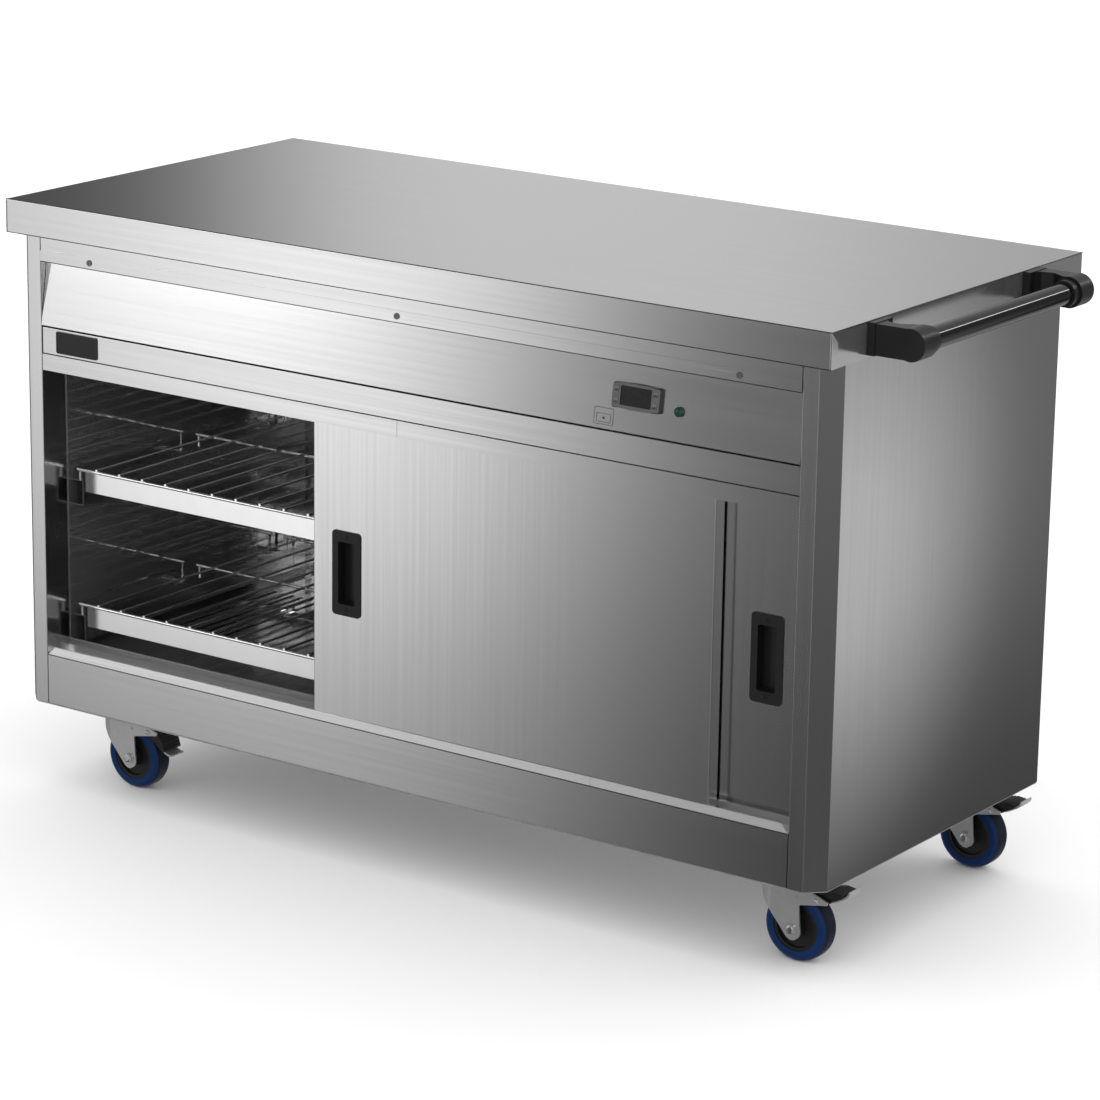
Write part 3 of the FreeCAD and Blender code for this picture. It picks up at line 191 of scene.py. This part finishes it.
MATERIALS = {
    "worktop": satin_ends("worktop", STEEL, SATIN, ALONG_X, end_metal=0.93),
    "flap": brushed("flap", 0.55, 0.30, ALONG_Z, metal=0.76),
    "steel_x": brushed("steel_x", STEEL, SATIN, ALONG_X),
    "steel_z": brushed("steel_z", STEEL, SATIN, ALONG_Z),
    "steel_y": brushed("steel_y", STEEL, SATIN, ALONG_Y),
    "track": brushed("track", STEEL, 0.26, ALONG_X, metal=0.84, contrast=0.04, spread=0.02),
    # Near-black steel of the fold lines: painted shadow along the sharp folds.
    "fold": brushed("fold", 0.10, 0.30, (40, 40, 40)),
    "liner": brushed("liner", 0.50, 0.045, POLISHED, metal=0.90, waves=0.05, **LINER_MARKS),
    # The back liner's darker tone is painted shade at the back of the chamber; it is also a little rougher.
    "liner_back_shade": brushed("liner_back_shade", 0.34, 0.07, POLISHED, metal=0.86, waves=0.04, **LINER_MARKS),
    "sheath": brushed("sheath", 0.22, 0.5, (60, 60, 60), contrast=0.08, spread=0.05),
    "wire": brushed("wire", 0.80, 0.15, (30, 30, 30), contrast=0.01, spread=0.004),
    "zinc": plated("zinc", 0.50, 0.80, 0.30, cells=120.0, contrast=0.03),
    "galvanised": plated("galvanised", 0.42, 0.80, 0.42, cells=60.0, contrast=0.16),
    "bolt": plated("bolt", 0.60, 0.95, 0.15, cells=400.0, contrast=0.06),
    "screw": plated("screw", 0.20, 0.90, 0.28, cells=400.0, contrast=0.10),
    "black": plastic("black", (0.0055, 0.0055, 0.0055), 0.36),
    "tube_black": plastic("tube_black", (0.003, 0.003, 0.0032), 0.06, grain=1500.0, depth=0.00002, shine=0.5),
    "badge": plastic("badge", (0.008, 0.008, 0.008), 0.35, grain=700.0),
    "case": plastic("case", (0.008, 0.008, 0.009), 0.35),
    "face": plastic("face", (0.075, 0.075, 0.078), 0.42, grain=1200.0),
    "window": plastic("window", (0.016, 0.015, 0.015), 0.12, grain=300.0, depth=0.00002),
    "keys": plastic("keys", (0.11, 0.11, 0.115), 0.45),
    "ink": plastic("ink", (0.03, 0.03, 0.035), 0.6),
    "lens": plastic("lens", (0.004, 0.032, 0.024), 0.16, grain=500.0, depth=0.0001),
    "nylon": plastic("nylon", (0.72, 0.72, 0.68), 0.45),
    # The tyre's second, darker colour is painted shade on its tread.
    "tyre": rubber("tyre", (0.0005, 0.018, 0.080, 1), (0.004, 0.007, 0.018, 1)),
    "hub": plastic("hub", (0.006, 0.006, 0.006), 0.45),
    "motor": plastic("motor", (0.05, 0.05, 0.055), 0.5),
}

DRESS = {
    "worktop": ["worktop"],
    "steel_x": ["front_top_rail", "control_panel", "fascia_panel", "kick_panel", "top_track", "rear_panel"],
    "steel_y": ["shelf_rails"],
    "steel_z": [
        "side_panel_left", "side_panel_right", "door_left_skin", "door_right_skin",
        "door_left_inner_pan", "door_right_inner_pan",
    ],
    "track": ["sill_track"],
    "liner": ["liner_left", "liner_right", "liner_top", "liner_floor"],
    # The back wall's darker tone is painted shade.
    "liner_back_shade": ["liner_back"],
    "galvanised": ["base_panel"],
    "wire": ["shelf_upper", "shelf_lower"],
    "zinc": ["castor_plates", "fan_impeller"] + ["castor_%s_fork" % corner for corner in CASTORS],
    "bolt": ["castor_bolts"],
    "screw": ["panel_screws"],
    "black": [
        "door_left_handle", "door_right_handle", "push_handle_brackets", "cable_gland",
        *["castor_%s_pedal" % corner for corner in CASTORS],
    ],
    "tube_black": ["push_handle_tube"],
    "badge": ["badge_plate"],
    "case": ["thermostat_housing"],
    "window": ["thermostat_window"],
    "keys": ["thermostat_button_%d" % number for number in range(1, 5)],
    "lens": ["indicator_lamp"],
    "nylon": ["door_left_glides", "door_right_glides"],
    "hub": ["castor_%s_hub" % corner for corner in CASTORS],
    "tyre": ["castor_%s_tyre" % corner for corner in CASTORS],
    "motor": ["fan_motor"],
    "sheath": ["heating_element"],
}
for look, names in DRESS.items():
    for name in names:
        mesh = NODES[name].data
        mesh.materials.clear()
        mesh.materials.append(MATERIALS[look])


# ---- pieces: fine detail that rides on the CAD bodies, drawn in millimetres ----


def centre(node):
    low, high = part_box(node)
    return (Vector(low) + Vector(high)) / 2


def frame_at(origin, out, up):
    """Matrix whose Z points out of a surface and whose Y points up along it."""
    z = Vector(out).normalized()
    x = Vector(up).cross(z).normalized()
    y = z.cross(x)
    return Matrix.Translation(origin) @ Matrix((x, y, z)).transposed().to_4x4()


def add_piece(name, mesh, place, body, look, bevel=0.0, smooth=True):
    """Put a finished bmesh in the scene on its body. A look is a key of MATERIALS."""
    bmesh.ops.recalc_face_normals(mesh, faces=mesh.faces)
    data = bpy.data.meshes.new(name)
    mesh.to_mesh(data)
    mesh.free()
    data.transform(place @ Matrix.Scale(MM, 4))
    data.materials.append(MATERIALS[look])
    if smooth:
        data.shade_smooth()
        data.set_sharp_from_angle(angle=math.radians(35))
    made = bpy.data.objects.new(name, data)
    bpy.context.scene.collection.objects.link(made)
    if bevel:
        edges = made.modifiers.new("edges", "BEVEL")
        edges.width = bevel * MM
        edges.segments = 2
    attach(made, body)


def turned(profile, steps=32):
    """Solid turned about Z from a profile of (radius, height) points."""
    mesh = bmesh.new()
    chain = [mesh.verts.new((radius, 0, height)) for radius, height in profile]
    edges = [mesh.edges.new(pair) for pair in zip(chain, chain[1:])]
    bmesh.ops.spin(
        mesh, geom=chain + edges, cent=(0, 0, 0), axis=(0, 0, 1), angle=math.tau, steps=steps, use_merge=True
    )
    bmesh.ops.remove_doubles(mesh, verts=mesh.verts, dist=1e-4)
    return mesh


def thicken(mesh, faces, along):
    """Extrude faces by a vector."""
    grown = bmesh.ops.extrude_face_region(mesh, geom=faces)
    lifted = [item for item in grown["geom"] if isinstance(item, bmesh.types.BMVert)]
    bmesh.ops.translate(mesh, verts=lifted, vec=along)


def ring(mesh, points, height):
    """Closed loop of edges at one height."""
    verts = [mesh.verts.new((x, y, height)) for x, y in points]
    return [mesh.edges.new((verts[i], verts[(i + 1) % len(verts)])) for i in range(len(verts))]


def holed_plate(loops, low, high):
    """Flat plate whose first loop is its outline and the others its openings."""
    mesh = bmesh.new()
    edges = [edge for points in loops for edge in ring(mesh, points, low)]
    bmesh.ops.triangle_fill(mesh, edges=edges, use_beauty=True, use_dissolve=False)
    thicken(mesh, list(mesh.faces), (0, 0, high - low))
    return mesh


def prism(points, low, high):
    """Outline in X and Z, drawn out along Y."""
    mesh = bmesh.new()
    face = mesh.faces.new([mesh.verts.new((x, low, z)) for x, z in points])
    thicken(mesh, [face], (0, high - low, 0))
    return mesh


def circle(radius, steps=28):
    angles = [math.tau * i / steps for i in range(steps)]
    return [(radius * math.cos(angle), radius * math.sin(angle)) for angle in angles]


def rectangle(half_x, half_y, radius, x=0.0, y=0.0, crown=0.0):
    """Rounded rectangle. A crown swells the long sides outwards at their middle."""
    steps = 4
    points = []
    for quarter, (sx, sy) in enumerate([(1, 1), (-1, 1), (-1, -1), (1, -1)]):
        for step in range(steps + 1):
            angle = math.radians(90 * (quarter + step / steps))
            points.append((
                sx * (half_x - radius) + radius * math.cos(angle),
                sy * (half_y - radius) + radius * math.sin(angle),
            ))
        if crown and quarter in (0, 2):
            for share in (0.6, 0.2, -0.2, -0.6):
                swell = half_y + crown * (1 - share * share)
                points.append((sx * share * half_x, sy * swell))
    return [(x + i, y + j) for i, j in points]


def cross_head(name, radius, proud, place, body, look):
    """Pan-head screw with a cross recess, its base at the frame's origin."""
    arm, half = radius * 0.62, radius * 0.15
    flat = radius * 0.86
    floor_of_recess = proud * 0.3
    cross = [
        (half, half), (half, arm), (-half, arm), (-half, half), (-arm, half), (-arm, -half),
        (-half, -half), (-half, -arm), (half, -arm), (half, -half), (arm, -half), (arm, half),
    ]
    mesh = holed_plate([circle(flat), cross], floor_of_recess, proud)
    skirt = turned([(radius, 0), (radius, proud * 0.45), (radius * 0.96, proud * 0.8), (flat, proud)])
    spare = bpy.data.meshes.new("skirt")
    skirt.to_mesh(spare)
    skirt.free()
    mesh.from_mesh(spare)
    bpy.data.meshes.remove(spare)
    mesh.faces.new([mesh.verts.new((x, y, floor_of_recess)) for x, y in cross])
    add_piece(name, mesh, place, body, look)


def panel_screw_heads():
    """Three screws along the panel's flange, each turned further than the last."""
    overhang, proud, twist = 0.6, 2.0, 0.35
    low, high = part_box("panel_screws")
    height = (low[2] + high[2]) / 2
    radius = (high[2] - low[2]) / 2
    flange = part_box("control_panel")[0][1]
    for number, x in enumerate((low[0] + radius, (low[0] + high[0]) / 2, high[0] - radius), start=1):
        place = frame_at((x, flange, height), FRONT, UP) @ Matrix.Rotation(twist * number, 4, "Z")
        cross_head("panel_screw_%d" % number, radius / MM + overhang, proud, place, "cabinet", "screw")


def door_handle_screws():
    """A small screw above and below the cup of each flush handle."""
    reach, radius, proud, sunk, twist = 53, 3.5, 1.2, 0.3, 0.6
    for side in ("left", "right"):
        middle = centre("door_%s_handle" % side)
        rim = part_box("door_%s_handle" % side)[0][1]
        for name, sign in (("top", 1), ("bottom", -1)):
            spot = (middle.x, rim + sunk * MM, middle.z + sign * reach * MM)
            place = frame_at(spot, FRONT, UP) @ Matrix.Rotation(twist * sign, 4, "Z")
            cross_head("door_%s_screw_%s" % (side, name), radius, proud, place, "door_" + side, "black")


PANEL_TILT = math.radians(8.05)
PANEL_SETBACK = 0.5
PANEL_OUT = (0, -math.cos(PANEL_TILT), math.sin(PANEL_TILT))
PANEL_UP = (0, math.sin(PANEL_TILT), math.cos(PANEL_TILT))
THERMOSTAT_RISE = 48.5
LAMP_RISE = 39.5
MARK_RISE = 16.5
MARK_X = 302.5


def on_panel(x, rise):
    """Frame on the leaning face of the control panel, a rise above its foot."""
    foot = Vector((0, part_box("kick_panel")[0][1] - PANEL_SETBACK * MM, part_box("control_panel")[0][2]))
    spot = foot + Vector((0, math.tan(PANEL_TILT), 1)) * rise * MM
    return frame_at((x, spot.y, spot.z), PANEL_OUT, PANEL_UP)


def thermostat_face():
    """Grey surround with bowed long sides, round the window and the four keys. Each key has a rib."""
    across, up = 31, 8
    face_low, face_high = 5.1, 5.9
    rib_low, rib_high = 6.1, 6.6
    place = on_panel(centre("thermostat_housing").x, THERMOSTAT_RISE)
    loops = [rectangle(37.7, 15.6, 2.0, crown=2.2), rectangle(24.8, 13.2, 0.8, y=0.6)]
    loops += [rectangle(3.7, 2.7, 0.8, x=i * across, y=j * up) for i in (-1, 1) for j in (-1, 1)]
    plate = holed_plate(loops, face_low, face_high)
    add_piece("thermostat_face", plate, place, "cabinet", "face", smooth=False)
    window = centre("thermostat_window")
    for number in range(1, 5):
        key = centre("thermostat_button_%d" % number)
        offset = Vector((across if key.x > window.x else -across, up if key.z > window.z else -up, 0))
        spot = place @ Matrix.Translation(offset * MM)
        rib = holed_plate([rectangle(2.5, 0.45, 0.4)], rib_low, rib_high)
        body = "button_%d" % number
        add_piece("key_rib_%d" % number, rib, spot, body, "ink", smooth=False)


def lamp_lens():
    """Domed lens in a stepped rim."""
    profile = [
        (6.9, 1.8), (6.9, 3.1), (6.6, 3.3), (5.9, 3.3), (5.6, 3.0),
        (5.2, 3.3), (4.2, 3.9), (2.6, 4.4), (0, 4.6),
    ]
    place = on_panel(centre("indicator_lamp").x, LAMP_RISE)
    add_piece("lamp_lens", turned(profile, 40), place, "cabinet", "lens")


def panel_mark():
    """Printed mark under the thermostat: an outlined box, a smaller one inside it and a dot."""
    line, sunk, proud = 0.6, -0.2, 0.2
    outlines = (("outer", 15.5, 11.5, 0.0), ("inner", 11.5, 6.0, -2.5), ("dot", 1.6, 1.6, -2.5))
    place = on_panel(MARK_X * MM, MARK_RISE)
    for name, half_x, half_y, y in outlines:
        loops = [rectangle(half_x, half_y, 0.8, y=y)]
        if name != "dot":
            loops.append(rectangle(half_x - line, half_y - line, 0.3, y=y))
        mesh = holed_plate(loops, sunk, proud)
        add_piece("panel_mark_" + name, mesh, place, "cabinet", "ink", smooth=False)


def badge_rim():
    """Raised rim round the blank badge."""
    width, sunk, proud = 1.4, -0.5, 0.5
    low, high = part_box("badge_plate")
    half_x, half_z = (high[0] - low[0]) / 2 / MM, (high[2] - low[2]) / 2 / MM
    loops = [rectangle(half_x, half_z, 3.0), rectangle(half_x - width, half_z - width, 1.8)]
    mesh = holed_plate(loops, sunk, proud)
    middle = centre("badge_plate")
    place = frame_at((middle.x, low[1], middle.z), FRONT, UP)
    add_piece("badge_rim", mesh, place, "cabinet", "tube_black", smooth=False)


def castor_detail():
    """Axle caps and pedal pins on each fork, and a steel lever with a ribbed pad on each pedal."""
    cap = [
        (8.2, 0), (8.2, 0.5), (7.8, 0.8), (6.6, 0.8), (6.6, 3.2),
        (5.8, 4.2), (4.0, 4.7), (3.6, 4.2), (0, 4.2),
    ]
    rivet = [(3.9, 0), (3.9, 0.6), (3.0, 1.5), (1.6, 2.0), (0, 2.1)]
    lever = [
        (8, -7.9), (25, -7.6), (40.1, -5.3), (46.4, -2.6), (50.0, 1.5),
        (48.2, 3.3), (44.8, -0.1), (39.2, -2.6), (30, -4.6), (8, -5.6),
    ]
    lever_half, rib_half = 14.4, 17.5
    rib = [(-1.2, -1), (-0.9, 0.5), (0, 1.0), (0.9, 0.5), (1.2, -1)]
    rib_spots = [(12.5, 9.0), (17.5, 8.5), (22.5, 7.5), (27.5, 6.5), (32, 4.2), (36, 2.2)]
    cheek = Vector((0, 25.4, 0)) * MM
    pin = Vector((38, 0, 48)) * MM
    for corner in CASTORS:
        castor, pedal = "castor_" + corner, "pedal_" + corner
        hub = centre(castor + "_hub")
        for name, sign in (("front", -1), ("rear", 1)):
            for kind, spot, profile, steps, look in (
                ("axle_cap", hub, cap, 32, "bolt"),
                ("pedal_pin", hub + pin, rivet, 20, "zinc"),
            ):
                place = frame_at(spot + sign * cheek, (0, sign, 0), UP)
                label = "%s_%s_%s" % (kind, corner, name)
                add_piece(label, turned(profile, steps), place, castor, look)
        pedal_angle = math.radians(45 if corner == "front_left" else -20)
        pivot = Matrix.Translation(hub + pin) @ Matrix.Rotation(pedal_angle, 4, "Y")
        bar = prism(lever, -lever_half, lever_half)
        label = "pedal_lever_" + corner
        add_piece(label, bar, pivot, pedal, "zinc", bevel=0.25, smooth=False)
        for number, (x, z) in enumerate(rib_spots, start=1):
            bar = prism([(x + i, z + j) for i, j in rib], -rib_half, rib_half)
            label = "pedal_rib_%s_%d" % (corner, number)
            add_piece(label, bar, pivot, pedal, "black", bevel=0.3)


def fold_lines():
    """Narrow shadow lines along the sharp folds, where the bent sheet turns away from the light."""
    radius = 0.7
    inset = 0.2 * MM
    fold_height = 811.5 * MM
    low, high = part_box("worktop")
    panel_low, panel_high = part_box("control_panel")
    kick_low, kick_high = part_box("kick_panel")
    corner = (high[0] - inset, low[1] + inset, high[2] - inset)
    flange_fold = panel_low[1] + 0.4 * MM
    foot = low[1] + 0.3 * MM
    runs = {
        "worktop_front": (corner, (low[0] + inset, corner[1], corner[2])),
        "worktop_end": (corner, (corner[0], high[1] - inset, corner[2])),
        "worktop_foot": ((high[0], foot, low[2]), (low[0], foot, low[2])),
        "flange_fold": ((panel_low[0], flange_fold, fold_height), (panel_high[0], flange_fold, fold_height)),
        "kick_top": ((kick_low[0], kick_low[1], kick_high[2]), (kick_high[0], kick_low[1], kick_high[2])),
    }
    for name, (start, end) in runs.items():
        along = Vector(end) - Vector(start)
        length = along.length / MM
        bar = turned([(0, 0), (radius, radius), (radius, length - radius), (0, length)], 8)
        place = frame_at(start, along, (0.1, 0.2, 1))
        add_piece("fold_line_" + name, bar, place, "cabinet", "fold")


def corner_flaps():
    """Lapped flap of the worktop's front skirt, turned round each front corner and dressed smooth."""
    sunk, proud = -0.1, 0.5
    low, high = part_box("worktop")
    drop = (high[2] - low[2]) / MM
    outline = [(0.2, 0.3), (12.0, 0.3), (13.6, 1.0), (14.2, 2.6), (14.2, drop - 15.5), (0.2, drop - 1.2)]
    for name, x, sign in (("right", high[0], 1), ("left", low[0], -1)):
        place = frame_at((x, low[1], low[2]), (sign, 0, 0), UP)
        mesh = holed_plate([[(sign * i, j) for i, j in outline]], sunk, proud)
        add_piece("corner_flap_" + name, mesh, place, "cabinet", "flap", smooth=False)


fold_lines()
corner_flaps()
panel_screw_heads()
door_handle_screws()
thermostat_face()
lamp_lens()
panel_mark()
badge_rim()
castor_detail()


# ---- floor, light and camera ----

SPAN = 40.0
floor_mesh = bpy.data.meshes.new("studio_floor")
floor_corners = [(-SPAN, -SPAN, 0), (SPAN, -SPAN, 0), (SPAN, SPAN, 0), (-SPAN, SPAN, 0)]
floor_mesh.from_pydata(floor_corners, [], [(0, 1, 2, 3)])
floor = bpy.data.objects.new("studio_floor", floor_mesh)
bpy.context.scene.collection.objects.link(floor)
paper = Shader("paper", Roughness=0.9)
paper.drive("Base Color", paper.ramp(paper.noise(3.0), grey(0.86), grey(0.88)))
floor_mesh.materials.append(paper.material)
floor.visible_glossy = False

# Heading of a ray in degrees from -Y towards -X, and how bright the studio is that way for reflections.
STUDIO = [
    (-180, 0.28), (-168, 0.20), (-157, 0.09), (-146, 0.09), (-130, 0.22), (-105, 0.30), (-78, 0.20),
    (-60, 0.08), (-44, 0.12), (-25, 0.26), (0, 0.30), (18, 0.24), (26, 0.10), (30, 0.03), (33.6, 0.02),
    (37.8, 1.0), (40, 0.74), (43.5, 0.34), (60, 0.24), (90, 0.30), (120, 0.18), (133, 0.035), (138, 0.035),
    (143, 0.37), (147, 0.36), (152, 0.25), (165, 0.27), (180, 0.28),
]
# The same far above and below the horizon. One side is dark, so that rounded folds read as lines.
CEILING = [
    (-180, 0.25), (-130, 0.30), (-60, 0.32), (5, 0.22), (20, 0.02), (60, 0.02), (75, 0.22), (130, 0.28),
    (180, 0.25),
]
# Sine of the elevation, and the share of the studio's brightness. Reflections dim towards the floor.
FALLOFF = [
    (-1.0, 0.26), (-0.40, 0.26), (-0.315, 0.31), (-0.25, 0.84), (-0.20, 0.95), (0.0, 0.92), (0.15, 0.86),
    (1.0, 0.86),
]
# Sine of the elevation, and how far the studio rather than the ceiling is seen.
BAND = [(-1.0, 0.0), (-0.50, 0.0), (-0.38, 1.0), (0.30, 1.0), (0.45, 0.0), (1.0, 0.0)]
SURROUND_LIGHT = 2.2
ROOM_LIGHT = 1.42


def world_ramp(tree, factor, stops, limit):
    """A grey ramp over a value between minus and plus a limit."""
    place = tree.nodes.new("ShaderNodeMapRange")
    place.inputs["From Min"].default_value = -limit
    place.inputs["From Max"].default_value = limit
    tree.links.new(factor, place.inputs["Value"])
    made = tree.nodes.new("ShaderNodeValToRGB")
    ramp = made.color_ramp
    ramp.interpolation = "EASE"
    for index, (at, value) in enumerate(stops):
        spot = (at + limit) / (2 * limit)
        element = ramp.elements[index] if index < 2 else ramp.elements.new(spot)
        element.position = spot
        element.color = grey(value)
    tree.links.new(place.outputs["Result"], made.inputs["Fac"])
    return made.outputs["Color"]


def blend(tree, kind, factor, first, second):
    """Mix two colours. The factor is a number or another node's output."""
    made = tree.nodes.new("ShaderNodeMix")
    made.data_type = "RGBA"
    made.blend_type = kind
    if isinstance(factor, float):
        made.inputs["Factor"].default_value = factor
    else:
        tree.links.new(factor, made.inputs["Factor"])
    ends = [socket for socket in made.inputs if socket.type == "RGBA"]
    for source, socket in zip((first, second), ends):
        tree.links.new(source, socket)
    return next(socket for socket in made.outputs if socket.type == "RGBA")


def studio_world():
    """White room for diffuse light, and a graded surround that only reflections see."""
    world = bpy.data.worlds.new("studio")
    bpy.context.scene.world = world
    world.use_nodes = True
    tree = world.node_tree
    room = tree.nodes["Background"]
    room.inputs["Color"].default_value = grey(1.0)
    room.inputs["Strength"].default_value = ROOM_LIGHT
    split = tree.nodes.new("ShaderNodeSeparateXYZ")
    tree.links.new(tree.nodes.new("ShaderNodeTexCoord").outputs["Generated"], split.inputs["Vector"])
    heading = tree.nodes.new("ShaderNodeMath")
    heading.operation = "ARCTAN2"
    for axis, socket in zip("XY", heading.inputs):
        flip = tree.nodes.new("ShaderNodeMath")
        flip.operation = "MULTIPLY"
        flip.inputs[1].default_value = -1.0
        tree.links.new(split.outputs[axis], flip.inputs[0])
        tree.links.new(flip.outputs["Value"], socket)
    around, over = [
        world_ramp(tree, heading.outputs["Value"], [(math.radians(a), v) for a, v in stops], math.pi)
        for stops in (STUDIO, CEILING)
    ]
    fall, band = [world_ramp(tree, split.outputs["Z"], stops, 1.0) for stops in (FALLOFF, BAND)]
    dimmed = blend(tree, "MULTIPLY", 1.0, around, fall)
    surround = tree.nodes.new("ShaderNodeBackground")
    surround.inputs["Strength"].default_value = SURROUND_LIGHT
    tree.links.new(blend(tree, "MIX", band, over, dimmed), surround.inputs["Color"])
    choose = tree.nodes.new("ShaderNodeMixShader")
    tree.links.new(tree.nodes.new("ShaderNodeLightPath").outputs["Is Glossy Ray"], choose.inputs["Fac"])
    tree.links.new(room.outputs["Background"], choose.inputs[1])
    tree.links.new(surround.outputs["Background"], choose.inputs[2])
    tree.links.new(choose.outputs["Shader"], tree.nodes["World Output"].inputs["Surface"])


studio_world()
bpy.context.scene.view_settings.view_transform = "Standard"


def card(name, at, out, width, height, glow, shape="RECTANGLE"):
    """Soft light that only reflections see. Glow is the brightness of its face."""
    light = bpy.data.lights.new(name, "AREA")
    light.shape = shape
    light.size = width
    light.size_y = height
    area = width * height * (math.pi / 4 if shape == "ELLIPSE" else 1)
    light.energy = glow * math.pi * area
    lamp = bpy.data.objects.new(name, light)
    bpy.context.scene.collection.objects.link(lamp)
    lamp.location = at
    lamp.rotation_euler = Vector(out).to_track_quat("-Z", "Y").to_euler()
    lamp.visible_camera = False
    lamp.visible_diffuse = False


def side_glow():
    """Nested ellipses beside the right end, none in another's plane: a glow that fades outwards."""
    width, height, glow = 1.10, 1.05, 0.068
    for number in range(1, 9):
        share = 0.18 + 0.12 * number
        spot = (1.14 + 0.01 * number, 0.54, 0.31)
        card("side_glow_%d" % number, spot, (-1, 0, 0), width * share, height * share, glow, "ELLIPSE")


def chamber_glow():
    """Light under the chamber roof, so that each shelf wire carries a highlight."""
    width, share, glow, gap = 0.07, 0.8, 0.35, 0.004
    low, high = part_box("liner_top")
    depth = high[1] - low[1]
    for number, x in enumerate((-0.60, -0.38), start=1):
        spot = (x, low[1] + depth / 2, low[2] - gap)
        card("chamber_glow_%d" % number, spot, (0, 0, -1), width, depth * share, glow)


side_glow()
chamber_glow()
card("handle_strip", (1.45, 1.75, 1.75), (-0.62, 0, -0.78), width=1.2, height=0.12, glow=9.0)
card("front_strip_left", (-2.17, -2.23, 1.10), (2.17, 2.23, -0.7), width=0.9, height=0.32, glow=3.1)
card("front_strip_right", (1.27, -2.23, 1.10), (-1.27, 2.23, -0.7), width=0.9, height=0.32, glow=4.0)

# The photograph's camera: where it stands in millimetres, how it is turned, and its focal length in pixels.
CAMERA_AT = (3341.5, -4740.4, 2047.5)
AZIMUTH = math.radians(35.211)
ELEVATION = math.radians(15.626)
ROLL = math.radians(0.891)
FOCAL = 4149.1
PIXELS = 1100
SENSOR = 36.0

camera_data = bpy.data.cameras.new("camera")
camera_data.sensor_width = SENSOR
camera_data.lens = FOCAL / PIXELS * SENSOR
camera_data.clip_end = 200.0
camera = bpy.data.objects.new("camera", camera_data)
bpy.context.scene.collection.objects.link(camera)
bpy.context.scene.camera = camera
look = Vector((
    -math.sin(AZIMUTH) * math.cos(ELEVATION),
    math.cos(AZIMUTH) * math.cos(ELEVATION),
    -math.sin(ELEVATION),
))
right = look.cross(Vector(UP)).normalized()
up = right.cross(look)
right_rolled = right * math.cos(ROLL) + up * math.sin(ROLL)
up_rolled = up * math.cos(ROLL) - right * math.sin(ROLL)
turn = Matrix((right_rolled, up_rolled, -look)).transposed()
camera.matrix_world = Matrix.Translation(Vector(CAMERA_AT) * MM) @ turn.to_4x4()
